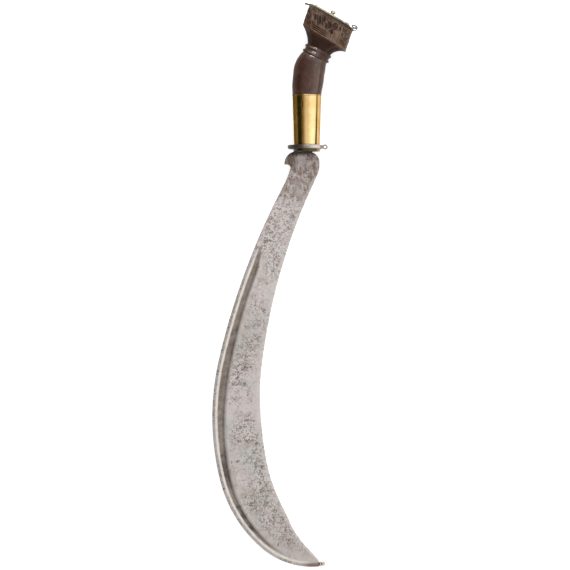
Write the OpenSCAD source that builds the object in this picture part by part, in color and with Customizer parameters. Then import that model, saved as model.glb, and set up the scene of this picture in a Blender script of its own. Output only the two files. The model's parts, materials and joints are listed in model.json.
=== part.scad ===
// Sacrificial axe: a sickle-shaped blade with a beak at its root, a round guard with an
// eye, a brass sleeve, a carved wooden grip and a slanted pommel with a linked ring.
// Millimetres. The pieces are drawn about the centre of the guard, with X across the
// blade towards its edge, Y towards the pommel and Z out of the face that is seen.
// The last module lays the whole axe on a table, with Z up and the table at zero.

/* [Back of the blade] */
// Radius of the back just below the beak, which curves the other way
back_r_root = 102.5; // [80:0.5:140]
// Turn of that curve in degrees
back_turn_root = 12.8; // [9:0.1:16]
// Radius of the long upper back
back_r_upper = 870; // [700:5:1000]
// Turn of the long upper back in degrees
back_turn_upper = 14.8; // [12:0.1:17]
// Radius of the middle of the back
back_r_mid = 311; // [270:1:350]
// Turn of the middle of the back in degrees
back_turn_mid = 27.4; // [24:0.1:30]
// Radius of the back behind the widest part
back_r_belly = 157.5; // [140:0.5:180]
// Turn of the back behind the widest part in degrees
back_turn_belly = 35.2; // [32:0.1:38]
// Radius of the back as it sweeps round to the tip
back_r_tip = 92; // [80:0.5:110]
// Turn of the back as it sweeps round to the tip in degrees
back_turn_tip = 47; // [38:0.5:52]

/* [Width of the blade] */
// Width just below the beak, before the flare of the shoulder
blade_w_root = 29.8; // [26:0.1:33]
// Width at the widest place
blade_w_belly = 60.6; // [52:0.1:66]
// Distance of the widest place along the back
belly_at = 375; // [340:5:400]
// Extra width where the shoulder runs into the edge
shoulder_flare = 3.5; // [1:0.1:6]
// Width of the end that carries the knob
tip_w = 6.6; // [5:0.1:8]

/* [Section of the blade] */
// Thickness over the ridge at the root
ridge_t = 5.2; // [4.6:0.1:6.5]
// Thickness over the ridge at the tip
ridge_t_tip = 3.2; // [2.6:0.1:4]
// Inset of the ridge from the back
ridge_inset = 3.5; // [2.5:0.1:4.5]
// Thickness of the back's flat outer face, at the root
back_t = 3.4; // [2.4:0.1:4]
// Thickness where the bevel of the edge starts
flat_t = 2.3; // [1.8:0.1:2.8]
// Thickness of the edge itself
edge_t = 0.6; // [0.4:0.1:1.2]
// Width of the bevel of the edge
bevel_w = 4.2; // [3:0.1:6]
// Length over which the blunt root thins to the edge
ricasso_len = 75; // [50:5:100]
// Inset of the groove from the back
groove_inset = 6.2; // [5.6:0.1:8]
// Greatest width of the groove
groove_w = 9.8; // [6:0.1:12]
// Depth of the groove on each side
groove_d = 0.7; // [0.3:0.1:0.9]
// Distance along the back at which the groove starts
groove_from = 108; // [90:2:140]
// Distance from the groove's end to the tip along the back
groove_stop = 30; // [20:1:50]
// Distance along the back at which the groove starts to widen
groove_widen_at = 190; // [150:5:240]
// Length over which the groove narrows towards the tip
groove_taper_len = 250; // [150:5:300]

/* [Root of the blade] */
// Thickness of the flat root with the beak
root_t = 4.2; // [3.6:0.1:4.4]
// Width of the neck under the guard
neck_w = 22; // [18:0.5:26]
// Offset of the neck from the handle's axis
neck_off = -3.3; // [-5:0.1:-1]
// Radius of the beak's back
beak_r = 14.5; // [12:0.1:16]
// Radius of the shoulder on the edge side
shoulder_r = 12.2; // [10:0.1:13]
// Length of the tang above the washers
tang_len = 70; // [50:1:74]
// Width of the tang at the guard
tang_w = 13; // [10:0.1:14]
// Width of the tang at its end
tang_end_w = 5; // [4:0.1:8]

/* [Knob on the tip] */
// Diameter of the knob
knob_d = 5.8; // [5:0.1:7]
// Length of the knob
knob_len = 7.4; // [6:0.1:9]
// Depth of the groove round the knob
knob_groove = 0.8; // [0.4:0.1:1.2]
// Length of the tenon that holds the knob
tenon_len = 3; // [2:0.1:4]
// Width of the tenon
tenon_w = 3; // [2:0.1:3.4]
// Thickness of the tenon
tenon_t = 1.6; // [1.2:0.1:2]

/* [Guard and washers] */
// Diameter of the guard
guard_d = 46.4; // [43:0.1:54]
// Thickness of the guard
guard_t = 4.5; // [3.5:0.1:6]
// Rounding of the guard's rim
guard_round = 1.2; // [0.6:0.1:1.6]
// Distance from the handle's axis to the straight cut beside the eye
eye_cut = 16.6; // [15:0.1:18]
// Height of the eye along the handle
eye_h = 6.4; // [5.4:0.1:7.4]
// Reach of the eye from the handle's axis
eye_reach = 25.1; // [23:0.1:27]
// Thickness of the eye
eye_t = 5; // [4:0.1:6]
// Diameter of the hole in the eye
eye_hole_d = 2.8; // [2:0.1:3.4]
// Diameter of both washers
washer_d = 32.4; // [30:0.1:36]
// Thickness of the washer beside the guard
guard_washer_t = 1.3; // [0.8:0.1:2]
// Thickness of the washer beside the blade
root_washer_t = 1.7; // [0.8:0.1:2.2]

/* [Sleeve] */
// Length of the sleeve
sleeve_len = 60.2; // [55:0.1:66]
// Outer diameter at the guard
sleeve_d_low = 30.8; // [29:0.1:32]
// Outer diameter at the grip
sleeve_d_high = 34.6; // [33.6:0.1:35]
// Thickness of the sheet
sleeve_t = 0.9; // [0.6:0.1:1.3]
// Diameter of the bead round the top
sleeve_bead_d = 1.4; // [1:0.1:2]
// Angle of the seam, from the face that is seen towards the edge side
seam_at = 50; // [40:1:60]
// Width of the closed part of the seam
seam_w = 0.5; // [0.3:0.1:0.8]
// Width of the seam's open end at the guard
seam_open_w = 2.6; // [1.5:0.1:4]
// Length of the open part of the seam
seam_open_len = 40; // [30:1:48]

/* [Grip] */
// Greatest width of the grip
grip_w = 39.2; // [37:0.1:42]
// Greatest depth of the grip
grip_depth = 34.6; // [33:0.1:37]
// Length from the sleeve to the middle of the collar
grip_len = 49.4; // [46:0.1:54]
// Sideways offset of the collar from the handle's axis
collar_off = 12.2; // [10:0.1:14]
// Slope of the collar in degrees
collar_slope = 27; // [22:0.5:30]
// Width over the beads of the collar
collar_w = 34.6; // [33:0.1:37]
// Distance between the two beads
bead_gap = 6.3; // [5:0.1:8]
// Height of the beads
bead_h = 0.9; // [0.4:0.1:1.4]
// Width of the neck above the collar
grip_neck_w = 31.6; // [29:0.1:33]
// Diameter of the bore for the tang
bore_d = 16; // [15:0.1:18]
// Resin left over the end of the tang
resin_over = 3; // [1:0.5:6]

/* [Pommel] */
// Width of the pommel across its leaning sides
pommel_w = 58.2; // [52:0.1:62]
// Depth of the pommel
pommel_depth = 38; // [34:0.5:42]
// Chamfer of the pommel's four corners
pommel_chamfer = 10; // [7:0.1:12]
// Length of the pommel along its leaning axis
pommel_len = 25.9; // [22:0.1:30]
// Lean of the pommel's sides in degrees
pommel_lean = 18.9; // [16:0.1:22]
// Slope of the pommel's top in degrees
top_slope = 30; // [26:0.1:33]
// Slope of the pommel's underside in degrees
under_slope = 31.8; // [28:0.1:34]
// Sideways distance from the collar to the middle of the underside
under_off = 8.55; // [7:0.05:11]
// Distance along the handle from the collar to the middle of the underside
under_rise = 17.75; // [16:0.05:21]

/* [Cap] */
// Thickness of the cap's plate
cap_t = 1.3; // [1:0.1:2]
// Overhang of the cap over the wood
cap_over = 0.5; // [0.2:0.1:1]
// Height of the domed crown over the plate
cap_crown = 2.6; // [1.4:0.1:3.2]
// Bare end of the plate beside the ring
cap_bare = 4.4; // [4:0.1:5.5]
// Length of the bent tongue
tongue_len = 6; // [4:0.1:9]
// Width of the tongue
tongue_w = 9; // [6:0.5:14]
// Bend of the tongue in degrees
tongue_bend = 30; // [10:1:45]
// Length of the raised lip
lip_len = 9.5; // [7:0.1:11]
// Height of the raised lip over the plate
lip_h = 3; // [2:0.1:3.4]
// Width of the raised lip across the cap
lip_w = 16; // [12:0.5:17]
// Distance of the lip's middle from the middle of the cap
lip_at = 20.7; // [19:0.1:22]
// Diameter of the nails
nail_d = 1.4; // [1:0.1:1.8]
// Diameter of the nail heads
nail_head_d = 3.2; // [2.6:0.1:3.6]
// Height of the nail heads
nail_head_h = 0.9; // [0.6:0.1:1.2]
// Length of the nails below their heads
nail_len = 15; // [10:0.5:18]
// Distance between the nails along the cap
nail_span = 42; // [38:0.5:44]
// Distance between the nails across the cap
nail_gap = 26; // [22:0.5:28]

/* [Finial] */
// Diameter of the pierced button
button_d = 6.6; // [5.6:0.1:8]
// Height of the button over its washer
button_h = 4.1; // [3.6:0.1:5]
// Diameter of the hole through the button
button_hole_d = 2; // [1.4:0.1:2.4]
// Diameter of the button's shank
button_shank_d = 2.2; // [1.8:0.1:3]
// Length of the shank below the cap
button_shank_len = 14; // [10:0.5:18]
// Distance of the finial from the middle of the cap, towards the ring
finial_at = -1.1; // [-3:0.1:1]
// Diameter of the flared washer
flare_d = 8.4; // [7.4:0.1:10]
// Thickness of the flared washer
flare_t = 0.9; // [0.6:0.1:1.4]

/* [Ring and its eye] */
// Mean radius of the eye's loop
loop_r = 3.1; // [2.9:0.05:3.3]
// Diameter of the eye's wire
loop_wire_d = 1; // [0.8:0.05:1.1]
// Length of the eye's shank in the wood
loop_shank_len = 14; // [8:0.5:18]
// Mean radius of the ring
ring_r = 3.3; // [3.2:0.05:3.6]
// Diameter of the ring's wire
ring_wire_d = 1.3; // [1.1:0.05:1.5]

/* [Hidden] */
// Fits: a close fit between fixed pieces, and room for a wire bent into the wood
fit = 0.1;
wire_room = 0.15;
// Direction of the back, in degrees from straight down, where the blade rests
rest_heading = 18.7;
// Direction of the back where it leaves the beak
back_heading = -15.2;
// Place where the back leaves the beak, from the neck's middle under the washers
back_start_off = [-16.3, -19.6];
// Shape of the blade's width before and after its widest place
swell = 0.115;
swell_power = 3;
taper_power = 2.7;
taper_root = 0.77;
// Length of the flare below the shoulder
flare_len = 25;
// Distance before the groove at which the back starts to slope, and length of that change
back_lead = 20;
back_fade = 40;
// How much thinner than the ridge the flat and the edge are at the blunt root
root_flat_drop = 0.2;
root_edge_drop = 0.35;
// Blade widths below which the bevels, and the ridge's inset, shrink with the blade
bevel_full_w = 22;
ridge_full_w = 16;
// Share of the edge's bevel at the blunt root, and least flat between groove and bevel
bevel_root = 0.4;
bevel_land = 0.4;
// Width of the groove's slanted walls, least width over them, share of the full width at
// the start, lengths over which it deepens, widens and runs out, and power of its taper
groove_wall = 0.5;
groove_min = 1.8;
groove_narrow = 0.62;
groove_fade = 40;
groove_widen_len = 100;
groove_run_out = 60;
groove_taper_power = 0.8;
// Number of sections along the blade and points round the wood
blade_steps = 72;
round_steps = 32;
// Beak and shoulder: how far the middle of each round lies from the neck
beak_in = 12.8;
shoulder_out = 7.4;
shoulder_drop = 0.8;
// Overlap of the root inside the blade, along and across it, and bulge of its edge side
root_run = 9;
root_inset = 3.4;
root_bulge = 1.1;
// Length of the full-width tang above the guard and below the washers
tang_straight = 4;
tang_rooted = 6;
// Half length of a bead of the collar, and its depth as a share of its width
bead_reach = 1.3;
collar_oval = 0.86;
neck_oval = 0.88;
// Levels of the grip from the sleeve to the collar: share of the way across and along,
// share of the full swell in width and in depth, and share of the collar's slope
swell_levels = [[0.03, 0.1, 0.5, 0.4, 0], [0.08, 0.24, 0.85, 0.8, 0],
                [0.16, 0.4, 0.98, 1, 0], [0.23, 0.55, 1, 1, 0.04]];
// The same above the widest place, with shares of the narrowing towards the collar
narrowing_levels = [[0.33, 0.705, 0.09, 0.05, 0.17], [0.51, 0.845, 0.4, 0.21, 0.37],
                    [0.74, 0.94, 0.7, 0.47, 0.56], [0.92, 0.985, 0.92, 0.68, 0.8]];
// Profile of one bead: place along it and share of its height
bead_profile = [[-1, 0], [-0.58, 0.6], [0, 1], [0.58, 0.6], [1, 0]];
// Levels of the flare under the pommel: share of the way from the collar, share of the
// width, of the depth, of the slope and of the block's chamfered shape
flare_levels = [[0.33, 0, 0, 0, 0], [0.52, 0.16, 0.3, 0.1, 0.1], [0.72, 0.42, 0.6, 0.4, 0.4],
                [0.88, 0.7, 0.85, 0.7, 0.8]];
// Widest level of the button, as a share of its height
button_mid = 0.56;
// Step of the cap's edge below its crown, depth of the nail heads in it, and width over
// which the crown rises, with its levels as shares of that width and of its height
cap_step = 0.3;
nail_sunk = 0.2;
crown_run = 12;
crown_levels = [[0, 0], [0.08, 0.4], [0.2, 0.6], [0.4, 0.8], [0.68, 0.95], [1, 1]];
// Depth of the grip's wood inside the sleeve's mouth and of the flare inside the pommel
joint_run = 8;
flare_run = 4;
e = 0.01;
$fn = 64;

steel_grey = [0.72, 0.71, 0.7];
iron_grey = [0.42, 0.4, 0.4];
brass_gold = [0.8, 0.65, 0.3];
wood_brown = [0.32, 0.2, 0.16];
resin_brown = [0.2, 0.12, 0.08];

// Heights along the handle
neck_y = -guard_t / 2 - guard_washer_t - root_washer_t;
sleeve_y = guard_t / 2;
grip_y = sleeve_y + sleeve_len;
collar_c = [collar_off, grip_y + grip_len];
tang_end_y = neck_y + tang_len;

// Small helpers: unit vector, blend of two values, and a soft step from 0 to 1
function unit(v) = v / norm(v);
function mix(a, b, u) = a + (b - a) * u;
function soft(u) = let (c = min(1, max(0, u))) c * c * (3 - 2 * c);
function arc(c, r, a0, a1, n) =
    [for (i = [0:n]) let (a = mix(a0, a1, i / n)) c + r * [cos(a), sin(a)]];

// The back is a chain of arcs. A heading is measured from straight down towards the edge
back = [[-back_r_root, -back_turn_root], [back_r_upper, back_turn_upper],
        [back_r_mid, back_turn_mid], [back_r_belly, back_turn_belly],
        [back_r_tip, back_turn_tip]];
back_start = [neck_off, neck_y] + back_start_off;
function arc_len(a) = a[0] * a[1] * PI / 180;
function chain_len(i = 0) = i < len(back) ? arc_len(back[i]) + chain_len(i + 1) : 0;
function along(p, h, a, t) =
    let (h1 = h + a[1] * t / arc_len(a))
    [p[0] + a[0] * (cos(h) - cos(h1)), p[1] + a[0] * (sin(h) - sin(h1)), h1];
// Point and heading at a distance t along the back
function back_at(t, i = 0, p = back_start, h = back_heading) =
    t <= arc_len(back[i]) || i == len(back) - 1
    ? along(p, h, back[i], t)
    : let (q = along(p, h, back[i], arc_len(back[i])))
      back_at(t - arc_len(back[i]), i + 1, [q[0], q[1]], q[2]);
// Distance along the back at which it has a given heading
function t_at_heading(g, i = 1, h = back_heading - back_turn_root, s = arc_len(back[0])) =
    g <= h + back[i][1] || i == len(back) - 1
    ? s + arc_len(back[i]) * (g - h) / back[i][1]
    : t_at_heading(g, i + 1, h + back[i][1], s + arc_len(back[i]));
blade_l = chain_len();

// Width of the blade at a distance t along the back
function blade_w(t) = t < belly_at
    ? let (u = t / belly_at)
      mix(blade_w_root, blade_w_belly, u + swell * sin(180 * pow(u, swell_power)))
      + shoulder_flare * pow(max(0, 1 - t / flare_len), 2)
    : let (u = min(1, (t - belly_at) / (blade_l - belly_at)))
      mix(tip_w, blade_w_belly, pow(1 - pow(u, taper_power), taper_root));
function across(h) = [cos(h), sin(h)];
function down(h) = [sin(h), -cos(h)];
function edge_at(t) = let (b = back_at(t)) [b[0], b[1]] + across(b[2]) * blade_w(t);

// Half thicknesses at a distance t along the back
function ridge_z(t) = mix(ridge_t, ridge_t_tip, t / blade_l) / 2;
function back_z(t) = ridge_z(t)
    * mix(1, back_t / ridge_t, soft((t - groove_from + back_lead) / back_fade));
function flat_z(t) = mix(ridge_z(t) - root_flat_drop, flat_t / 2, soft(t / ricasso_len));
function edge_z(t) = mix(ridge_z(t) - root_edge_drop, edge_t / 2, soft(t / ricasso_len));
groove_to = blade_l - groove_stop;
function groove_in(t) = soft((t - groove_from) / groove_fade) * soft((groove_to - t) / groove_run_out);
function groove_width(t) =
    let (opened = soft((t - groove_from) / groove_fade),
         widened = mix(groove_narrow, 1, soft((t - groove_widen_at) / groove_widen_len)),
         left = min(1, max(0, (groove_to - t) / groove_taper_len)))
    mix(groove_min, groove_w, opened * widened * pow(left, groove_taper_power));

// One section of the blade: 8 points on the face that is seen and 8 behind it
function half_section(t) =
    let (w = blade_w(t),
         narrow = min(1, w / bevel_full_w),
         x1 = ridge_inset * min(1, w / ridge_full_w),
         x2 = groove_inset * narrow,
         x5 = min(x2 + groove_width(t), w - bevel_w * narrow - bevel_land),
         x3 = x2 + groove_wall * narrow,
         x4 = x5 - groove_wall * narrow,
         x6 = w - bevel_w * narrow * min(1, mix(bevel_root, 1, t / ricasso_len)),
         slope = (flat_z(t) - ridge_z(t)) / (x6 - x1),
         dip = groove_d * groove_in(t))
    [[0, back_z(t)], [x1, ridge_z(t)],
     [x2, ridge_z(t) + slope * (x2 - x1)],
     [x3, ridge_z(t) + slope * (x3 - x1) - dip],
     [x4, ridge_z(t) + slope * (x4 - x1) - dip],
     [x5, ridge_z(t) + slope * (x5 - x1)],
     [x6, flat_z(t)], [w, edge_z(t)]];
function place(t, q) = let (b = back_at(t)) concat([b[0], b[1]] + across(b[2]) * q[0], [q[1]]);
function section(t) =
    let (s = half_section(t))
    concat([for (q = s) place(t, q)], [for (i = [len(s) - 1:-1:0]) place(t, [s[i][0], -s[i][1]])]);

// Skin of a row of closed sections that all have the same number of points
function middle(r) = [for (a = [0:2]) let (v = [for (p = r) p[a]]) sum(v) / len(v)];
function sum(v, i = 0) = i < len(v) ? v[i] + sum(v, i + 1) : 0;
module loft(rows) {
    n = len(rows[0]);
    m = len(rows);
    polyhedron(
        points = concat([for (r = rows) for (p = r) p], [middle(rows[0]), middle(rows[m - 1])]),
        faces = concat(
            [for (i = [0:n - 1]) [m * n, (i + 1) % n, i]],
            [for (i = [0:n - 1]) [m * n + 1, (m - 1) * n + i, (m - 1) * n + (i + 1) % n]],
            [for (k = [0:m - 2]) for (i = [0:n - 1])
                [k * n + i, (k + 1) * n + (i + 1) % n, (k + 1) * n + i]],
            [for (k = [0:m - 2]) for (i = [0:n - 1])
                [k * n + i, k * n + (i + 1) % n, (k + 1) * n + (i + 1) % n]]),
        convexity = 6);
}

// Flat root: neck, beak and shoulder, ending inside the blade
beak_c = [neck_off - neck_w / 2 + beak_r - beak_in, neck_y - beak_r];
shoulder_c = [neck_off + neck_w / 2 - shoulder_r + shoulder_out, neck_y - shoulder_r - shoulder_drop];
function root_outline() =
    let (b0 = back_at(0), s = [b0[0], b0[1]], n = across(b0[2]), d = down(b0[2]),
         e0 = edge_at(0),
         c = shoulder_c + [shoulder_r, 0])
    concat(
        arc(beak_c, beak_r, 97, 184, 10),
        [s + [-3.2, 3.9], s + [-0.7, 1.9], s,
         s + n * root_inset + d * root_run, e0 - n * root_inset + d * root_run, e0],
        [for (i = [1:5]) let (u = i / 6) mix(e0, c, u) + [root_bulge * sin(180 * u), 0]],
        arc(shoulder_c, shoulder_r, 0, 72, 8));

module tang_plate(extra = 0) {
    x0 = tang_w / 2 + extra;
    x1 = tang_end_w / 2 + extra;
    polygon([[-x0, neck_y - tang_rooted], [x0, neck_y - tang_rooted],
             [x0, sleeve_y + tang_straight], [x1, tang_end_y + extra],
             [-x1, tang_end_y + extra], [-x0, sleeve_y + tang_straight]]);
}

tip = back_at(blade_l);
tip_mid = [tip[0], tip[1]] + across(tip[2]) * knob_d / 2;
module at_tip() {
    translate([tip_mid[0], tip_mid[1], 0]) rotate([0, 0, tip[2] - 90]) children();
}

module blade() {
    color(steel_grey) {
        loft([for (k = [0:blade_steps]) section(blade_l * k / blade_steps)]);
        translate([0, 0, -root_t / 2]) linear_extrude(root_t) polygon(root_outline());
        translate([0, 0, -root_t / 2]) linear_extrude(root_t) tang_plate();
        at_tip() translate([-1, -tenon_w / 2, -tenon_t / 2]) cube([tenon_len + 1, tenon_w, tenon_t]);
    }
}

module tip_knob() {
    r = knob_d / 2;
    g = r - knob_groove;
    color(steel_grey) at_tip() difference() {
        rotate([0, 90, 0]) rotate_extrude() polygon(concat(
            [[0, 0], [g + 0.3, 0], [r, 0.5], [r, 1.5], [g, 2], [g, 2.6], [r, 3.1]],
            [for (p = arc([0, 0], 1, 0, 90, 8)) [r * p[0], 3.1 + 0.9 + (knob_len - 4) * p[1]]]));
        translate([-1, -tenon_w / 2 - fit / 2, -tenon_t / 2 - fit / 2])
            cube([tenon_len + 1 + fit, tenon_w + fit, tenon_t + fit]);
    }
}

// Turns a piece drawn about Z so that it stands along the handle
module along_handle() {
    rotate([-90, 0, 0]) children();
}

module tang_slot() {
    translate([0, 0, -root_t / 2 - fit]) linear_extrude(root_t + 2 * fit)
        square([tang_w + 2 * fit, 60], center = true);
}

module guard() {
    r = guard_d / 2;
    f = guard_round;
    boss_r = eye_h / 2;
    color(iron_grey) difference() {
        union() {
            difference() {
                along_handle() rotate_extrude($fn = 96) polygon(concat(
                    [[0, -guard_t / 2]],
                    arc([r - f, f - guard_t / 2], f, -90, 0, 5),
                    arc([r - f, guard_t / 2 - f], f, 0, 90, 5),
                    [[0, guard_t / 2]]));
                translate([eye_cut, -guard_t, -r]) cube([r, 2 * guard_t, 2 * r]);
            }
            translate([eye_reach - boss_r, 0, -eye_t / 2]) cylinder(r = boss_r, h = eye_t);
            translate([eye_cut - 3, -guard_t / 2, -eye_t / 2])
                cube([eye_reach - boss_r - eye_cut + 3, guard_t, eye_t]);
        }
        translate([eye_reach - boss_r, 0, -eye_t]) cylinder(d = eye_hole_d, h = 2 * eye_t);
        tang_slot();
    }
}

module washer(top, t) {
    color(brass_gold) difference() {
        translate([0, top - t, 0]) along_handle() cylinder(d = washer_d, h = t, $fn = 96);
        tang_slot();
    }
}

module guard_washer() {
    washer(-guard_t / 2, guard_washer_t);
}

module root_washer() {
    washer(-guard_t / 2 - guard_washer_t, root_washer_t);
}

// Sheet sleeve, a slight cone with a bead round its top and an open seam
module grip_sleeve() {
    r0 = sleeve_d_low / 2;
    r1 = sleeve_d_high / 2;
    b = sleeve_bead_d / 2;
    color(brass_gold) translate([0, sleeve_y, 0]) along_handle() difference() {
        rotate_extrude($fn = 96) polygon(concat(
            [[r0 - sleeve_t, 0], [r0, 0], [r1, sleeve_len - 2 * b]],
            arc([r1, sleeve_len - b], b * 0.9, -70, 70, 4),
            [[r1, sleeve_len], [r1 - sleeve_t, sleeve_len]]));
        rotate([0, 0, seam_at - 90]) rotate([90, 0, 90])
            translate([0, 0, r0 - 2 * sleeve_t]) linear_extrude(r1)
                polygon([[-seam_open_w / 2, -1], [seam_open_w / 2, -1],
                         [seam_w / 2, seam_open_len], [seam_w / 2, sleeve_len + 1],
                         [-seam_w / 2, sleeve_len + 1], [-seam_w / 2, seam_open_len]]);
    }
}

// Unit outline of the pommel's chamfered block, by angle, and a blend from an oval to it
function oval_point(a, hx, hz, m) =
    let (c = cos(a), s = sin(a),
         k = pommel_w / 2 + pommel_depth / 2 - pommel_chamfer,
         grow = min(1 / max(abs(c), e), 1 / max(abs(s), e),
                    k / (abs(c) * pommel_w / 2 + abs(s) * pommel_depth / 2)))
    [hx * c * mix(1, grow, m), hz * s * mix(1, grow, m)];
// One level of the wood: middle, half width, half depth, slope and share of the block's shape
function level(c, hx, hz, slope, m = 0) =
    [for (i = [0:round_steps - 1])
        let (p = oval_point(360 * i / round_steps, hx, hz, m))
        [c[0] + p[0] * cos(slope), c[1] - p[0] * sin(slope), p[1]]];
function collar_at(s) = collar_c + s * [sin(collar_slope), cos(collar_slope)];

under_c = collar_c + [under_off, under_rise];
lean_dir = [sin(pommel_lean), cos(pommel_lean)];
// The grip is a stack of levels: swell, narrowing, two beads, and the flare of the pommel
module carved_body() {
    w = grip_w / 2;
    d = grip_depth / 2;
    r1 = sleeve_d_high / 2;
    cw = collar_w / 2;
    cd = cw * collar_oval;
    nw = grip_neck_w / 2;
    nd = nw * neck_oval;
    pw = pommel_w / 2;
    pd = pommel_depth / 2;
    g = bead_gap / 2;
    seat = collar_at(-g - bead_reach);
    function on_way(q) = [q[0] * seat[0], mix(grip_y, seat[1], q[1])];
    loft(concat(
        [level([0, grip_y], r1, r1, 0)],
        [for (q = swell_levels)
            level(on_way(q), mix(r1, w, q[2]), mix(r1, d, q[3]), collar_slope * q[4])],
        [for (q = narrowing_levels)
            level(on_way(q), mix(w, cw - bead_h, q[2]), mix(d, cd - bead_h, q[3]),
                  collar_slope * q[4])],
        [for (side = [-g, g]) for (q = bead_profile) let (low = bead_h * (1 - q[1]))
            level(collar_at(side + q[0] * bead_reach), cw - low, cd - low, collar_slope)],
        [for (q = flare_levels)
            level(mix(collar_c, under_c, q[0]), mix(nw, pw, q[1]), mix(nd, pd, q[2]),
                  mix(collar_slope, under_slope, q[3]), q[4])],
        [level(under_c, pw + cap_over, pd, under_slope, 1),
         level(under_c + flare_run * lean_dir, pw - 1, pd - 1, under_slope, 1)]));
}

function octagon(hx, hz, ch) =
    [[hx, hz - ch], [hx - ch, hz], [ch - hx, hz], [-hx, hz - ch],
     [-hx, ch - hz], [ch - hx, -hz], [hx - ch, -hz], [hx, ch - hz]];
top_c = under_c + pommel_len * lean_dir;

// Leaning block with chamfered corners, cut off at its two slopes
module block() {
    tu = [cos(top_slope), -sin(top_slope)] * pommel_w;
    uu = [cos(under_slope), -sin(under_slope)] * pommel_w;
    intersection() {
        translate([under_c[0], under_c[1], 0]) rotate([0, 0, -pommel_lean])
            translate([0, -pommel_w, 0]) along_handle() linear_extrude(pommel_w * 3)
                polygon(octagon(pommel_w / 2, pommel_depth / 2, pommel_chamfer));
        translate([0, 0, -pommel_depth]) linear_extrude(2 * pommel_depth)
            polygon([under_c - uu, under_c + uu, top_c + tu, top_c - tu]);
    }
}

// Puts a piece on the slanted top, with Y square to it and X down the slope
module on_top() {
    translate([top_c[0], top_c[1], 0]) rotate([0, 0, -top_slope]) children();
}
top_half = pommel_w / 2 / cos(top_slope - pommel_lean);
cap_hx = top_half + cap_over;
cap_hz = pommel_depth / 2 + cap_over;
nail_x = nail_span / 2;
nail_z = nail_gap / 2;
// The crown is a low dome. Its foot is inset from the plate, and more so beside the ring
crown_x = (cap_step - cap_bare) / 2;
crown_hx = cap_hx - (cap_step + cap_bare) / 2;
crown_hz = cap_hz - cap_step;
function crown_outline(d) =
    octagon(crown_hx - d, crown_hz - d, pommel_chamfer - (2 - sqrt(2)) * d);
// Height of the crown at a place on the plate, from its distance inside the foot
function crown_at(x, z) =
    let (u = abs(x - crown_x),
         d = min(crown_hx - u, crown_hz - abs(z),
                 (crown_hx + crown_hz - pommel_chamfer - u - abs(z)) / sqrt(2)))
    d < 0 ? 0 : cap_crown * lookup(d / crown_run, crown_levels);
module crown() {
    loft([for (q = concat([[0, -0.4 / cap_crown]], crown_levels))
        [for (p = crown_outline(crown_run * q[0]))
            [crown_x + p[0], cap_t + cap_crown * q[1], p[1]]]]);
}
function seat_y(x) = cap_t + crown_at(x, nail_z) - nail_sunk;

module nail_places(seated = false) {
    for (x = [-nail_x, nail_x], z = [-nail_z, nail_z])
        translate([x, seated ? seat_y(x) : 0, z]) children();
}

module eye_room(extra) {
    at_loop() wire_ring(loop_r, loop_wire_d / 2 + extra);
    loop_shank(extra);
}

module grip() {
    r0 = sleeve_d_low / 2 - sleeve_t - fit;
    r1 = sleeve_d_high / 2 - sleeve_t - fit;
    bore_end = tang_end_y + resin_over;
    color(wood_brown) difference() {
        union() {
            carved_body();
            block();
            translate([0, sleeve_y, 0]) along_handle()
                cylinder(r1 = r0, r2 = r1, h = sleeve_len, $fn = 96);
            translate([0, grip_y - e, 0]) along_handle() cylinder(r = r1, h = joint_run, $fn = 96);
        }
        translate([0, sleeve_y - 1, 0]) along_handle()
            cylinder(d = bore_d, h = bore_end - sleeve_y + 1);
        on_top() nail_places() translate([0, -nail_len - 1, 0]) along_handle()
            cylinder(d = nail_d + fit, h = nail_len + 2, $fn = 24);
        on_top() translate([finial_at, -button_shank_len - 1, 0]) along_handle()
            cylinder(d = button_shank_d + fit, h = button_shank_len + 2, $fn = 32);
        eye_room(wire_room);
    }
}

// Resin poured round the tang
module tang_resin() {
    color(resin_brown) difference() {
        translate([0, sleeve_y, 0]) along_handle()
            cylinder(d = bore_d - fit / 2, h = tang_end_y + resin_over - sleeve_y - fit);
        translate([0, 0, -root_t / 2 - fit / 2]) linear_extrude(root_t + fit) tang_plate(fit / 2);
    }
}

module pommel_cap() {
    tongue_r = tongue_len / tongue_bend * 180 / PI;
    bend_c = [-cap_hx, cap_t - tongue_r];
    lip_r = (lip_len * lip_len / 4 + lip_h * lip_h) / 2 / lip_h;
    color(brass_gold) difference() {
        on_top() difference() {
            union() {
                along_handle() linear_extrude(cap_t)
                    polygon(octagon(cap_hx, cap_hz, pommel_chamfer));
                crown();
                intersection() {
                    translate([lip_at, cap_t + lip_h - lip_r, -lip_w / 2]) cylinder(r = lip_r, h = lip_w);
                    translate([0, cap_t / 2, -cap_hz]) cube([cap_hx, cap_t + lip_h, 2 * cap_hz]);
                }
                translate([0, 0, -tongue_w / 2]) linear_extrude(tongue_w) polygon(concat(
                    [[1 - cap_hx, cap_t]], arc(bend_c, tongue_r, 90, 90 + tongue_bend, 10),
                    arc(bend_c, tongue_r - cap_t, 90 + tongue_bend, 90, 10), [[1 - cap_hx, 0]]));
            }
            nail_places() translate([0, -1, 0]) along_handle()
                cylinder(d = nail_d + fit, h = 8, $fn = 24);
            nail_places(true) along_handle() cylinder(d = nail_head_d + 2 * fit, h = 8, $fn = 32);
            translate([finial_at, -1, 0]) along_handle()
                cylinder(d = button_shank_d + fit, h = 8, $fn = 32);
        }
        eye_room(wire_room);
    }
}

module cap_nails() {
    r = nail_head_d / 2;
    ball = (r * r + nail_head_h * nail_head_h) / 2 / nail_head_h;
    color(iron_grey) on_top() nail_places(true) along_handle() {
        intersection() {
            translate([0, 0, nail_head_h - ball]) sphere(r = ball, $fn = 48);
            cylinder(r = r, h = nail_head_h + 1, $fn = 32);
        }
        translate([0, 0, -nail_len]) cylinder(d = nail_d, h = nail_len + nail_head_h / 2, $fn = 24);
    }
}

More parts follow.
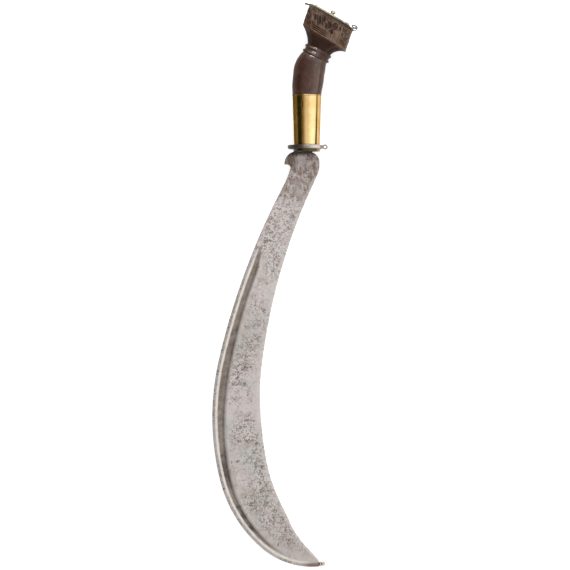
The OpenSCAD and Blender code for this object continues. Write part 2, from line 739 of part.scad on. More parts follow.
module finial_washer() {
    color(brass_gold) on_top() translate([finial_at, cap_t + cap_crown, 0]) along_handle() difference() {
        cylinder(d1 = flare_d, d2 = flare_d - 2.4, h = flare_t, $fn = 48);
        translate([0, 0, -1]) cylinder(d = button_shank_d + fit, h = flare_t + 2, $fn = 32);
    }
}

module finial() {
    r = button_d / 2;
    y0 = cap_t + cap_crown + flare_t;
    color(brass_gold) on_top() translate([finial_at, 0, 0]) difference() {
        union() {
            translate([0, y0, 0]) along_handle() rotate_extrude($fn = 48) polygon(concat(
                [[0, 0], [r * 0.7, 0], [r * 0.62, 0.6]],
                [for (p = arc([0, 0], 1, -35, 90, 12))
                    [r * p[0], button_h * mix(button_mid, 1, p[1])]]));
            translate([0, y0 - button_shank_len - cap_t - cap_crown, 0]) along_handle()
                cylinder(d = button_shank_d, h = button_shank_len + cap_t + cap_crown + 0.5, $fn = 32);
        }
        translate([0, y0 + button_h * button_mid, -r - 1])
            cylinder(d = button_hole_d, h = 2 * r + 2, $fn = 32);
    }
}

// The two linked wires: middle and direction of each loop, from the corner of the cap
corner = top_c + [cos(top_slope), -sin(top_slope)] * top_half;
loop_c = [corner[0] + 2.9, corner[1] + 1.1, 0];
loop_n = unit([-0.41, 0.65, 0.64]);
ring_c = loop_c + [-0.55, 3.05, -3.55];
ring_n = unit([0.39, 0.76, 0.52]);
module face(n) {
    rotate(a = acos(n[2]), v = [-n[1], n[0], 0]) children();
}
module wire_ring(r, w) {
    rotate_extrude($fn = 64) translate([r, 0]) circle(r = w, $fn = 20);
}
module at_loop() {
    translate(loop_c) face(loop_n) children();
}
// The shank leaves the loop in its own plane, towards the wood
shank_dir = let (v = unit([-1, -0.55, 0])) unit(v - (v * loop_n) * loop_n);
module loop_shank(extra) {
    translate(loop_c + shank_dir * loop_r) face(shank_dir)
        cylinder(d = loop_wire_d + 2 * extra, h = loop_shank_len + extra, $fn = 24);
}
module cap_eye() {
    color(brass_gold) {
        at_loop() wire_ring(loop_r, loop_wire_d / 2);
        loop_shank(0);
    }
}
module pommel_ring() {
    color(iron_grey) translate(ring_c) face(ring_n) wire_ring(ring_r, ring_wire_d / 2);
}

// The axe lies on the ridge of the blade's back and on the guard's rim. The tilt about the
// line along the back at the place of rest makes both touch the table
rest_t = t_at_heading(rest_heading);
rest_b = back_at(rest_t);
rest_p = [rest_b[0], rest_b[1]] + across(rest_heading) * ridge_inset;
rest_reach = -across(rest_heading) * rest_p;
rest_z = ridge_z(rest_t);
function guard_h(tilt) =
    let (uy = sin(rest_heading) * sin(tilt), f = guard_round)
    (guard_d / 2 - f) * sqrt(1 - uy * uy) + (guard_t / 2 - f) * abs(uy) + f;
function settle(tilt, n) = n == 0 ? tilt
    : settle(asin((guard_h(tilt) - rest_z * cos(tilt)) / rest_reach), n - 1);
tilt = settle(5, 8);
lay_dir = down(rest_heading);

module lay() {
    translate([0, 0, guard_h(tilt)]) rotate(a = tilt, v = [lay_dir[0], lay_dir[1], 0]) children();
}

lay() blade();
lay() tip_knob();
lay() guard();
lay() guard_washer();
lay() root_washer();
lay() grip_sleeve();
lay() grip();
lay() tang_resin();
lay() pommel_cap();
lay() cap_nails();
lay() cap_eye();
lay() pommel_ring();
lay() finial();
lay() finial_washer();
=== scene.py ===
import json
from math import atan, atan2, cos, degrees, dist, hypot, pi, radians, sin, sqrt, tan, tau

import bmesh
import bpy
from mathutils import Matrix, Vector, noise


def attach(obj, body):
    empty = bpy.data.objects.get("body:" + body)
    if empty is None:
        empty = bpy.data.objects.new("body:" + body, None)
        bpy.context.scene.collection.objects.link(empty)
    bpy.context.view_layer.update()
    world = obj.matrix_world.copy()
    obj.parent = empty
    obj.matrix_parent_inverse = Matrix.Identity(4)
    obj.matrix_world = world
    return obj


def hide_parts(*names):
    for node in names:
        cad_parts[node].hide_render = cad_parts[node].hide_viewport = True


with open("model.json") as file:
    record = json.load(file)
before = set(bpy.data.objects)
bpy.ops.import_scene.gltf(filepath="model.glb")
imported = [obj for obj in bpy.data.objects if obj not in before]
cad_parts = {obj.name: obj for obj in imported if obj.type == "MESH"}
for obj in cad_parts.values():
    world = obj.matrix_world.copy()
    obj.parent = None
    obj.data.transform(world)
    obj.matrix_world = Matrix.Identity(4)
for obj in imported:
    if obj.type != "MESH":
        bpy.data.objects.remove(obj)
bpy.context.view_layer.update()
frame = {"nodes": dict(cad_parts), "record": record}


# How the axe lies
# It lies on a table on the ridge of its blade and the rim of its guard, so it is tipped a
# little. Its pieces are drawn upright, in millimetres about the guard's middle, and this
# matrix lays them down where the record's mounts say they are.
MM = 0.001
HAND_TO_GUARD = 32.35
mounts = {m["name"]: m for m in frame["record"]["mounts"]}
face_up = Vector(mounts["guard_eye"]["axis"]).normalized()
handle_up = Vector(mounts["hand_grip"]["axis"]).normalized()
edge_way = handle_up.cross(face_up)
guard_middle = Vector(mounts["hand_grip"]["pos_m"]) - handle_up * HAND_TO_GUARD * MM
turned = Matrix((edge_way, handle_up, face_up)).transposed().to_4x4()
laid = Matrix.Translation(guard_middle) @ turned @ Matrix.Scale(MM, 4)


def placed(name, data):
    """A new object in the scene."""
    thing = bpy.data.objects.new(name, data)
    bpy.context.scene.collection.objects.link(thing)
    return thing


def lay_down(name, mesh, material):
    """An object of this mesh, laid with the axe, with one material."""
    mesh.transform(laid)
    mesh.materials.append(material)
    return placed(name, mesh)


# Blade
# One forging of pitted steel: a back that bends as a chain of arcs, a bright ridge, a
# groove full of old patina behind it, a flat, and a narrow bevel to the cutting edge.
# The flat root with its beak and the tang in the handle belong to the same forging.
ARCS = [("Root", -102.5, -12.8), ("Upper back", 870, 14.8), ("Middle", 311, 27.4),
        ("Belly", 157.5, 35.2), ("Sweep to the tip", 92, 47)]
BACK_START = (-19.6, -24.81)
BACK_HEADING = -15.2
BLADE_LENGTH = sum(r * turn * pi / 180 for _, r, turn in ARCS)
BLADE_SIZES = {
    "Width at the root": 29.8, "Greatest width": 60.6, "Place of the greatest width": 375,
    "Swell": 0.115, "Flare under the shoulder": 3.5, "Width at the tip": 6.6,
    "Thickness at the root": 5.18, "Thickness at the tip": 3.18, "Thickness of the back": 3.4,
    "Thickness of the flat": 2.3, "Thickness of the edge": 0.6, "Inset of the ridge": 3.5,
    "Width of the bevel": 4.2, "Length of the blunt root": 75,
    "Inset of the groove": 6.2, "Width of the groove": 9.8, "Depth of the groove": 0.7,
    "Start of the groove": 108, "End of the groove": BLADE_LENGTH - 30,
    "Lead of the bevelled back": 20, "Run of the bevelled back": 40,
    "Wear of the faces": 0.22, "Wear of the edge": 0.5,
}
for label, radius, turn in ARCS:
    BLADE_SIZES[label + " radius"] = radius
    BLADE_SIZES[label + " turn"] = turn
NECK_MIDDLE, NECK_HALF_WIDTH = (-3.3, -5.25), 11
BEAK_RADIUS, SHOULDER_RADIUS = 14.5, 12.2
ROOT_HALF, ROOT_ROUND = 2.1, 0.9
TANG_OUTLINE = [(-6.5, -11), (6.5, -11), (6.5, 6.25), (2.5, 64.7), (-2.5, 64.7), (-6.5, 6.25)]
BLADE_ROWS = 560
FACE_COLUMNS = 40


class Value:
    """What a node gives. Arithmetic with it adds math nodes to the same tree."""

    def __init__(self, socket):
        self.socket, self.tree = socket, socket.id_data

    def __add__(self, other):
        return calc("ADD", self, other)

    def __sub__(self, other):
        return calc("SUBTRACT", self, other)

    def __rsub__(self, other):
        return calc("SUBTRACT", other, self)

    def __mul__(self, other):
        return calc("MULTIPLY", self, other)

    def __truediv__(self, other):
        return calc("DIVIDE", self, other)

    def __pow__(self, other):
        return calc("POWER", self, other)

    def __abs__(self):
        return calc("ABSOLUTE", self)

    __radd__, __rmul__ = __add__, __mul__


def feed(socket, value):
    """Links a node's value to a socket, or sets the socket to a plain value."""
    if isinstance(value, Value):
        socket.id_data.links.new(value.socket, socket)
    else:
        socket.default_value = value


def made(tree, kind, inputs=(), output=0, **settings):
    """A new node with these settings and inputs; gives one of its outputs."""
    node = tree.nodes.new(kind)
    for key, value in settings.items():
        setattr(node, key, value)
    for key, value in dict(inputs).items():
        feed(node.inputs[key], value)
    return Value(node.outputs[output])


def calc(how, *values):
    """A math node in the tree of the values; at least one of them comes from a node."""
    tree = next(v.tree for v in values if isinstance(v, Value))
    return made(tree, "ShaderNodeMath", enumerate(values), operation=how)


def least(a, b):
    return calc("MINIMUM", a, b)


def most(a, b):
    return calc("MAXIMUM", a, b)


def mix(a, b, u):
    return a + (b - a) * u


def step(x, low, high, smooth=True):
    """0 below low and 1 above high, smooth or straight between them."""
    return made(x.tree, "ShaderNodeMapRange",
                {"Value": x, "From Min": low, "From Max": high}, "Result",
                interpolation_type="SMOOTHSTEP" if smooth else "LINEAR", clamp=True)


def between(x, start, full, fading, end):
    """1 from full to fading, and 0 outside start and end."""
    return step(x, start, full) * step(x, end, fading)


def parts(vector):
    """The three coordinates of a vector."""
    node = vector.tree.nodes.new("ShaderNodeSeparateXYZ")
    feed(node.inputs[0], vector)
    return [Value(part) for part in node.outputs]


def grain(place, scale, detail=4.0, rough=0.5, twist=0.0):
    """Cloudy noise, from 0 to 1."""
    return made(place.tree, "ShaderNodeTexNoise",
                {"Vector": place, "Scale": scale, "Detail": detail, "Roughness": rough,
                 "Distortion": twist})


def blade_tree():
    tree = bpy.data.node_groups.new("forged blade", "GeometryNodeTree")
    for label in BLADE_SIZES:
        tree.interface.new_socket(label, in_out="INPUT", socket_type="NodeSocketFloat")
    tree.interface.new_socket("Material", in_out="INPUT", socket_type="NodeSocketMaterial")
    tree.interface.new_socket("Geometry", in_out="OUTPUT", socket_type="NodeSocketGeometry")
    given = {item.name: Value(item) for item in tree.nodes.new("NodeGroupInput").outputs if item.name}

    def wave(how, angle):
        return made(tree, "ShaderNodeMath", {0: angle}, operation=how)

    # a flat grid whose rows go along the blade and whose columns go round it
    columns = 2 * FACE_COLUMNS + 3
    result = made(tree, "GeometryNodeMeshGrid",
                  {"Vertices X": BLADE_ROWS + 1, "Vertices Y": columns}, "Mesh")
    row, column, _ = parts(made(tree, "GeometryNodeInputPosition"))
    column = calc("ROUND", (column + 0.5) * (columns - 1.0))
    column = calc("MODULO", column, columns - 1.0)
    behind = calc("GREATER_THAN", column, FACE_COLUMNS + 0.5)
    side = 1.0 - behind * 2.0
    s = mix(column, 2.0 * FACE_COLUMNS + 1 - column, behind) / FACE_COLUMNS

    # the back: each arc adds its own run, so the point and heading are plain sums
    t = (row + 0.5) * BLADE_LENGTH
    x, y = BACK_START
    heading = start = radians(BACK_HEADING)
    run = 0.0
    for label, _, _ in ARCS:
        radius, bend = given[label + " radius"], calc("RADIANS", given[label + " turn"])
        length = radius * bend
        turned_here = bend * step(t, run, run + length, smooth=False)
        after = turned_here + start
        x += radius * (wave("COSINE", start) - wave("COSINE", after))
        y += radius * (wave("SINE", start) - wave("SINE", after))
        heading += turned_here
        start += bend
        run += length

    # the width along it
    belly, widest = given["Place of the greatest width"], given["Greatest width"]
    u = t / belly
    grown = u + given["Swell"] * wave("SINE", u ** 3.0 * pi)
    flare = most(0.0, 1.0 - t / 25.0) ** 2.0
    upper = mix(given["Width at the root"], widest, grown) + given["Flare under the shoulder"] * flare
    u = least(1.0, most(0.0, (t - belly) / (BLADE_LENGTH - belly)))
    lower = mix(given["Width at the tip"], widest, most(0.0, 1.0 - u ** 2.7) ** 0.77)
    nicks = made(tree, "ShaderNodeTexNoise", {"W": t, "Scale": 0.11, "Detail": 4.0},
                 noise_dimensions="1D")
    w = mix(upper, lower, calc("GREATER_THAN", t, belly)) - given["Wear of the edge"] * nicks

    # half thicknesses
    thick = given["Thickness at the root"]
    ridge = mix(thick, given["Thickness at the tip"], t / BLADE_LENGTH) * 0.5
    groove_start, groove_end = given["Start of the groove"], given["End of the groove"]
    lead = groove_start - given["Lead of the bevelled back"]
    bevelled = step(t, lead, lead + given["Run of the bevelled back"])
    back = ridge * mix(1.0, given["Thickness of the back"] / thick, bevelled)
    thinned = step(t, 0.0, given["Length of the blunt root"])
    flat = mix(ridge - 0.2, given["Thickness of the flat"] * 0.5, thinned)
    edge = mix(ridge - 0.35, given["Thickness of the edge"] * 0.5, thinned)

    # one section: stations from the back to the edge
    opened = step(t, groove_start - 5.0, groove_start + 22.0)
    closing = step(t, groove_end, groove_end - 60.0)
    dip = given["Depth of the groove"] * opened * closing
    widened = mix(0.72, 1.0, step(t, 170.0, 290.0))
    left = least(1.0, most(0.0, (groove_end - t) / 250.0))
    wide = mix(1.8, given["Width of the groove"],
               step(t, groove_start - 14.0, groove_start + 26.0) * widened * left ** 0.8)
    narrow = least(1.0, w / 22.0)
    bevel = given["Width of the bevel"] * narrow
    ridge_at = given["Inset of the ridge"] * least(1.0, w / 16.0)
    groove_at = given["Inset of the groove"] * narrow
    flat_at = least(groove_at + wide, w - bevel - 0.4)
    bevel_at = w - bevel * least(1.0, mix(0.4, 1.0, t / 75.0))
    room = flat_at - groove_at
    stations = [(0.0, 0.0), (0.125, ridge_at), (0.2, groove_at),
                (0.275, groove_at + least(0.8, room * 0.22)),
                (0.45, flat_at - least(3.6, room * 0.5)), (0.55, flat_at), (0.9, bevel_at), (1.0, w)]
    across = 0.0
    for (s0, a0), (s1, a1) in zip(stations, stations[1:]):
        across += (a1 - a0) * step(s, s0, s1, smooth=False)
    z = mix(back, ridge, step(s, 0.0, 0.125, smooth=False))
    z += (flat - ridge) * step(across, ridge_at, bevel_at, smooth=False)
    z += (edge - flat) * step(s, 0.9, 1.0, smooth=False)
    z -= dip * (step(s, 0.2, 0.275) - step(s, 0.45, 0.55))

    # forging marks and wear, always inwards
    spot = made(tree, "ShaderNodeCombineXYZ", {"X": t, "Y": across, "Z": side * 40.0})
    worn = grain(spot, 0.13, 5.0, 0.62)
    z -= given["Wear of the faces"] * worn * step(across, ridge_at, ridge_at + 3.0)
    z = least(z, t * 0.045 + (ROOT_HALF - 0.1))
    z = most(z, 0.1) * side

    # what the steel's finish follows: distance along and across, the groove and its ridge
    stained = step(s, 0.185, 0.205) - step(s, 0.54, 0.565)
    dirty = step(t, groove_start - 10.0, groove_start + 4.0) * closing
    # the ridge band, which the finish paints pale: rubbed steel with a painted highlight
    bright = step(s, 0.11, 0.135) - step(s, 0.185, 0.215)
    for label, value in (("along", t), ("across", across), ("groove", stained * dirty),
                         ("ridge", bright * opened), ("edge", step(s, 0.885, 0.905))):
        result = made(tree, "GeometryNodeStoreNamedAttribute",
                      {"Geometry": result, "Name": label, "Value": value},
                      data_type="FLOAT", domain="POINT")
    place = made(tree, "ShaderNodeCombineXYZ",
                 {"X": x + across * wave("COSINE", heading), "Y": y + across * wave("SINE", heading),
                  "Z": z})
    result = made(tree, "GeometryNodeSetPosition", {"Geometry": result, "Position": place})
    result = made(tree, "GeometryNodeMergeByDistance", {"Geometry": result, "Distance": 0.002})
    result = made(tree, "GeometryNodeRealizeInstances", {0: result})
    result = made(tree, "GeometryNodeSetMaterial", {"Geometry": result, "Material": given["Material"]})
    feed(tree.nodes.new("NodeGroupOutput").inputs[0], result)
    return tree


def grown_mesh(tree, values):
    """The plain mesh that a tree makes with these inputs."""
    holder = placed("maker", bpy.data.meshes.new("maker"))
    modifier = holder.modifiers.new("maker", "NODES")
    modifier.node_group = tree
    for item in tree.interface.items_tree:
        if item.in_out == "INPUT" and item.name in values:
            modifier[item.identifier] = values[item.name]
    bpy.context.view_layer.update()
    seen = bpy.context.evaluated_depsgraph_get()
    mesh = bpy.data.meshes.new_from_object(holder.evaluated_get(seen))
    holder.modifiers.clear()
    bpy.data.objects.remove(holder)
    return mesh


def close_and_turn(mesh):
    """Fills the open ends of a shell and turns its faces outwards."""
    work = bmesh.new()
    work.from_mesh(mesh)
    bmesh.ops.holes_fill(work, edges=[e for e in work.edges if e.is_boundary], sides=0)
    bmesh.ops.recalc_face_normals(work, faces=work.faces)
    work.to_mesh(mesh)
    work.free()


def arc_points(cx, cy, r, a0, a1, n):
    turns = [radians(mix(a0, a1, i / n)) for i in range(n + 1)]
    return [(cx + r * cos(a), cy + r * sin(a)) for a in turns]


def root_outline():
    """The flat root: beak, the start of the blade, and the rounded shoulder."""
    nx, ny = NECK_MIDDLE
    beak = (nx - NECK_HALF_WIDTH + BEAK_RADIUS - 12.8, ny - BEAK_RADIUS)
    shoulder = (nx + NECK_HALF_WIDTH - SHOULDER_RADIUS + 7.4, ny - SHOULDER_RADIUS - 0.8)
    sx, sy = BACK_START
    h = radians(BACK_HEADING)
    side, down = (cos(h), sin(h)), (sin(h), -cos(h))
    w = BLADE_SIZES["Width at the root"] + BLADE_SIZES["Flare under the shoulder"] - 0.3
    ex, ey = sx + side[0] * w, sy + side[1] * w
    inset, lap = 3.4, 9
    bulge = [(mix(ex, shoulder[0] + SHOULDER_RADIUS, i / 6) + 1.1 * sin(pi * i / 6),
              mix(ey, shoulder[1], i / 6)) for i in range(1, 6)]
    return (arc_points(*beak, BEAK_RADIUS, 97, 184, 22)
            + [(sx - 3.2, sy + 3.9), (sx - 1.8, sy + 3.0), (sx - 0.7, sy + 1.9), (sx, sy),
               (sx + side[0] * inset + down[0] * lap, sy + side[1] * inset + down[1] * lap),
               (ex - side[0] * inset + down[0] * lap, ey - side[1] * inset + down[1] * lap), (ex, ey)]
            + bulge + arc_points(*shoulder, SHOULDER_RADIUS, 0, 72, 16))


def mesh_of(name, work):
    """The mesh that a bmesh describes, smooth all over; the bmesh is freed."""
    mesh = bpy.data.meshes.new(name)
    work.to_mesh(mesh)
    work.free()
    mesh.polygons.foreach_set("use_smooth", [True] * len(mesh.polygons))
    return mesh


def plate_mesh(name, outline, half, bevel):
    """A flat plate of this outline with its edges rounded."""
    work = bmesh.new()
    rim = [work.verts.new((x, y, -half)) for x, y in outline]
    bottom = work.faces.new(rim)
    top = bmesh.ops.extrude_face_region(work, geom=[bottom])
    bmesh.ops.translate(work, vec=(0, 0, 2 * half),
                        verts=[v for v in top["geom"] if isinstance(v, bmesh.types.BMVert)])
    bmesh.ops.recalc_face_normals(work, faces=work.faces)
    level = [e for e in work.edges if abs(e.verts[0].co.z - e.verts[1].co.z) < 1e-6]
    bmesh.ops.bevel(work, geom=level, offset=bevel, segments=4, profile=0.6, affect="EDGES",
                    clamp_overlap=True)
    return mesh_of(name, work)


def joined_mesh(name, meshes):
    work = bmesh.new()
    for mesh in meshes:
        work.from_mesh(mesh)
    return mesh_of(name, work)


def mark(mesh, **marks):
    """Values for a mesh's first points, and 0 for the rest, which its finish reads."""
    for name, values in marks.items():
        rest = [0.0] * (len(mesh.vertices) - len(values))
        mesh.attributes.new(name, "FLOAT", "POINT").data.foreach_set("value", [*values, *rest])


class Finish:
    """A material, and short calls for what its patterns read and feed."""

    def __init__(self, name, metallic, roughness, colour):
        self.material = bpy.data.materials.new(name)
        self.material.use_nodes = True
        self.tree = self.material.node_tree
        self.shader = self.tree.nodes["Principled BSDF"]
        self.colour = colour
        self.feed("Metallic", metallic)
        self.feed("Roughness", roughness)
        self.feed("Base Color", (*colour, 1))

    def feed(self, name, value):
        feed(self.shader.inputs[name], value)

    def layer(self, share, colour):
        """Lays another colour over the ones below, by a share."""
        self.colour = tint(share, self.colour, colour)
        self.feed("Base Color", self.colour)

    def pattern(self, scale=(1, 1, 1), turn=(0, 0, 0)):
        """Object coordinates, stretched and turned for a pattern."""
        place = made(self.tree, "ShaderNodeTexCoord", output="Object")
        return made(self.tree, "ShaderNodeMapping", {0: place, "Scale": scale, "Rotation": turn})

    def read(self, name):
        """An attribute of the mesh."""
        return made(self.tree, "ShaderNodeAttribute", output="Fac", attribute_name=name)

    def bump(self, height, distance):
        self.feed("Normal", made(self.tree, "ShaderNodeBump",
                                 {"Strength": 1.0, "Distance": distance, "Height": height}))


def tint(share, under, over):
    """Goes from one colour to another by a share; either may come from a node."""
    under, over = (c if isinstance(c, Value) else (*c, 1) for c in (under, over))
    return made(share.tree, "ShaderNodeMix", {0: share, 6: under, 7: over}, 2, data_type="RGBA")


STEEL = {
    "pale": (0.65, 0.60, 0.585), "grey": (0.57, 0.55, 0.53), "warm": (0.60, 0.51, 0.48),
    "pit": (0.125, 0.095, 0.08), "patch": (0.29, 0.235, 0.185), "root": (0.165, 0.102, 0.070),
    "painted root highlight": (0.48, 0.47, 0.47), "stain": (0.26, 0.205, 0.155),
    "beak": (0.085, 0.060, 0.042), "neck": (0.030, 0.020, 0.013), "belly": (0.36, 0.29, 0.24),
    "edge": (0.53, 0.485, 0.46), "groove": (0.20, 0.155, 0.115), "far groove": (0.19, 0.155, 0.14),
    "deep groove": (0.075, 0.055, 0.042), "ridge": (0.82, 0.77, 0.71), "tip": (0.17, 0.095, 0.065),
}


def blade_steel():
    finish = Finish("pitted blade steel", 0.7, 0.45, STEEL["pale"])
    place = finish.pattern()
    x, y, _ = parts(place)
    along, across, groove, ridge, edge = (
        finish.read(name) for name in ("along", "across", "groove", "ridge", "edge"))
    cloud = step(grain(place, 28, 3, 0.55), 0.4, 0.62)
    warm = step(grain(place, 75, 4, 0.6, 0.6), 0.42, 0.6)
    finish.layer(cloud, STEEL["grey"])
    finish.layer(warm * 0.45, STEEL["warm"])

    # pits crowd together, run into crooked lines, and thin out beside the groove
    crowd = step(grain(place, 24, 3, 0.6, 0.5), 0.37, 0.56)
    crowd = most(crowd, between(along, 12.0, 34.0, 110.0, 150.0) * 0.8)
    clean = most(step(across, 13.0, 24.0), step(across, 4.2, 3.2))
    crowd *= most(clean, step(along, 130.0, 95.0))
    fine = step(grain(place, 400, 2, 0.6, 0.7), 0.50, 0.60)
    coarse = step(grain(place, 250, 2, 0.55, 1.1), 0.545, 0.62)
    lone = step(grain(place, 170, 3, 0.6, 0.4), 0.635, 0.68)
    pits = most(fine * (crowd * 0.55 + 0.12), coarse * (crowd * 0.85 + 0.06))
    pits = most(pits, lone * 0.8) * (ridge * -0.55 + 1.0)
    finish.layer(pits * 0.86, STEEL["pit"])

    # brown patches, then the mottled root with its beak, and painted shade along its top under the guard
    patch = step(grain(place, 40, 5, 0.62, 0.8), 0.55, 0.70)
    small = step(grain(place, 110, 4, 0.62, 0.5), 0.54, 0.68)
    finish.layer(most(patch * 0.9, small) * 0.42, STEEL["patch"])
    blotch = step(grain(finish.pattern((1.3, 0.6, 1)), 190, 4, 0.66, 0.5), 0.40, 0.60)
    root_share = step(grain(place, 60, 4, 0.6) * 60.0 + along, 88.0, 22.0)
    finish.layer(root_share * (blotch * 0.58 + 0.30), STEEL["root"])
    # painted highlight: a small pale bluish-grey spot in the middle of the root
    root_highlight = step(abs(x + 0.0025), 0.006, 0.001) * step(abs(y + 0.0175), 0.009, 0.001)
    finish.layer(root_highlight * 0.3, STEEL["painted root highlight"])
    finish.layer(between(along, 150.0, 185.0, 225.0, 265.0) * blotch * 0.22, STEEL["stain"])
    beak = step(x, -0.010, -0.017) * step(y, -0.030, -0.024)
    finish.layer(beak * 0.55, STEEL["beak"])
    # painted shade: the top of the root, just under the guard and the washers, is painted near black
    neck = grain(place, 200, 3, 0.6) * 3.0 + along
    finish.layer(step(neck, -4.4, -6.6) * 0.85, STEEL["neck"])
    finish.layer(step(along, 380.0, 540.0) * 0.25, STEEL["belly"])
    finish.layer(edge * 0.5, STEEL["edge"])

    # the patina in the groove; the ridge, rubbed pale steel with a painted highlight; the worn tip
    patina = tint(step(across, 9.5, 13.0), STEEL["groove"], STEEL["far groove"])
    deep = most(between(along, 345.0, 385.0, 400.0, 420.0), between(along, 425.0, 445.0, 465.0, 500.0))
    deep = deep * 0.34 + grain(place, 33, 3, 0.6)
    patina = tint(step(deep, 0.50, 0.82), patina, STEEL["deep groove"])
    finish.layer(groove * least(grain(place, 120, 4, 0.6) + 0.34, 0.95), patina)
    # rubbed steel and painted highlight: the band along the ridge is painted near white in mottled
    # strength
    rubbed = step(grain(place, 160, 3, 0.6), 0.34, 0.56) * 0.45 + 0.45
    finish.layer(ridge * rubbed, STEEL["ridge"])
    tip = step(along, BLADE_LENGTH - 26, BLADE_LENGTH - 10) * step(across, 6.4, 3.2)
    finish.layer(tip * 0.82, STEEL["tip"])
    finish.feed("Roughness", ridge * -0.12 + (pits * 0.25 + 0.42))
    finish.bump(pits * -1.0, 0.00014)
    return finish.material


steel = blade_steel()
swept = grown_mesh(blade_tree(), {**BLADE_SIZES, "Material": steel})
close_and_turn(swept)
root = plate_mesh("root", root_outline(), ROOT_HALF, ROOT_ROUND)
tang = plate_mesh("tang", TANG_OUTLINE, ROOT_HALF - 0.02, 0.3)
for part, depth in ((root, -1.0), (tang, -20.0)):
    mark(part, along=[depth - 0.4 * (v.co.y - BACK_START[1]) for v in part.vertices],
         across=(), groove=(), ridge=(), edge=())
blade = lay_down("forged_blade", joined_mesh("blade", [swept, root, tang]), steel)
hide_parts("blade")
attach(blade, "axe")


# Knob on the tip
# A small ribbed steel knob, filed and pinned over the end of the blade. Its ribs hold
# brown patina in their grooves.
def knob_steel():
    finish = Finish("knob steel", 0.7, 0.4, (0.42, 0.35, 0.31))
    place = finish.pattern()
    finish.layer(step(grain(place, 420, 4, 0.6), 0.35, 0.65), (0.66, 0.62, 0.58))
    finish.layer(finish.read("filed") * 0.92, (0.05, 0.035, 0.025))
    finish.bump(grain(place, 900, 3, 0.6), 0.0001)
    return finish.material


KNOB_RADIUS = 2.9
KNOB_PROFILE = [(0, 0.6), (0.02, 2.0), (0.5, 2.1), (0.85, 2.7), (1.2, 2.86), (1.6, 2.86), (2.0, 2.66),
                (2.3, 2.15), (2.7, 2.12), (3.05, 2.6), (3.4, 2.82), (4.0, 2.86), (4.6, 2.8),
                (4.9, 2.66), (5.2, 2.7), (5.7, 2.5), (6.3, 2.05), (6.9, 1.3), (7.2, 0.7), (7.3, 0.2)]


def soft(u):
    """Goes smoothly from 0 to 1 as u does."""
    u = min(1.0, max(0.0, u))
    return u * u * (3 - 2 * u)


def blade_end():
    """Where the back of the blade ends, and its heading there."""
    x, y, h = *BACK_START, radians(BACK_HEADING)
    for label, radius, turn in ARCS:
        after = h + radians(turn)
        x += radius * (cos(h) - cos(after))
        y += radius * (sin(h) - sin(after))
        h = after
    return x, y, h


def turned_mesh(name, profile, sides):
    """A body turned about the X axis from points (distance, radius), closed at both ends."""
    work = bmesh.new()
    rings = []
    for x, r in profile:
        turns = [tau * i / sides for i in range(sides)]
        rings.append([work.verts.new((x, r * cos(a), r * sin(a))) for a in turns])
    for a, b in zip(rings, rings[1:]):
        for i in range(sides):
            work.faces.new((a[i], b[i], b[(i + 1) % sides], a[(i + 1) % sides]))
    work.faces.new(rings[0])
    work.faces.new(rings[-1][::-1])
    bmesh.ops.recalc_face_normals(work, faces=work.faces)
    return mesh_of(name, work)


knob_mesh = turned_mesh("knob", KNOB_PROFILE, 96)
mark(knob_mesh, filed=[soft((2.62 - hypot(v.co.y, v.co.z)) / 0.4) * (v.co.x < 3.4)
                       for v in knob_mesh.vertices])
end_x, end_y, end_heading = blade_end()
knob_mesh.transform(Matrix.Translation((end_x + cos(end_heading) * KNOB_RADIUS,
                                        end_y + sin(end_heading) * KNOB_RADIUS, 0))
                    @ Matrix.Rotation(end_heading - pi / 2, 4, "Z"))
knob = lay_down("ribbed_knob", knob_mesh, knob_steel())
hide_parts("tip_knob")
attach(knob, "axe")


# Guard
# A round plate of forged iron with a pierced lug on its rim, rubbed bright where hands
# touch it and brown elsewhere; its left end is painted near black, a painted shade.
def guard_iron():
    finish = Finish("guard iron", 0.7, 0.42, (0.34, 0.28, 0.245))
    place = finish.pattern()
    x, _, _ = parts(place)
    worn = step(grain(place, 70, 4, 0.6, 0.5), 0.30, 0.60)
    finish.layer(worn, (0.56, 0.51, 0.47))
    rust = step(grain(place, 230, 3, 0.6), 0.56, 0.72)
    finish.layer(rust * 0.4, (0.25, 0.15, 0.11))
    # painted shade: the left end of the guard is painted near black
    shaded_left_side = step(grain(place, 120, 3, 0.6) * 0.010 + x, 0.015, -0.004)
    finish.layer(shaded_left_side * 0.93, (0.040, 0.025, 0.016))
    lug = step(x, 0.0165, 0.019)
    finish.layer(lug * 0.6, (0.36, 0.28, 0.25))
    finish.feed("Roughness", worn * -0.12 + 0.50)
    finish.bump(grain(place, 500, 4, 0.62), 0.00012)
    return finish.material


def coat(node, material):
    """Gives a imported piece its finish."""
    slots = frame["nodes"][node].data.materials
    slots.clear()
    slots.append(material)


coat("guard", guard_iron())


# Washers
# Two thin brass washers between the guard and the blade, yellow on their rims and
# painted near black on their left part, a painted shade.
def washer_brass():
    finish = Finish("washer brass", 0.85, 0.34, (0.74, 0.56, 0.30))
    place = finish.pattern()
    x, _, _ = parts(place)
    stain = step(grain(place, 160, 4, 0.6), 0.42, 0.66)
    finish.layer(stain, (0.52, 0.36, 0.17))
    # painted shade: the left part of the washers is painted near black
    shaded_left_side = step(grain(place, 200, 3, 0.6) * 0.006 + x, 0.0205, 0.0135)
    finish.layer(shaded_left_side * 0.90, (0.034, 0.019, 0.011))
    finish.bump(grain(place, 800, 3, 0.6), 0.0001)
    return finish.material


coat("guard_washer", washer_brass())
coat("root_washer", washer_brass())


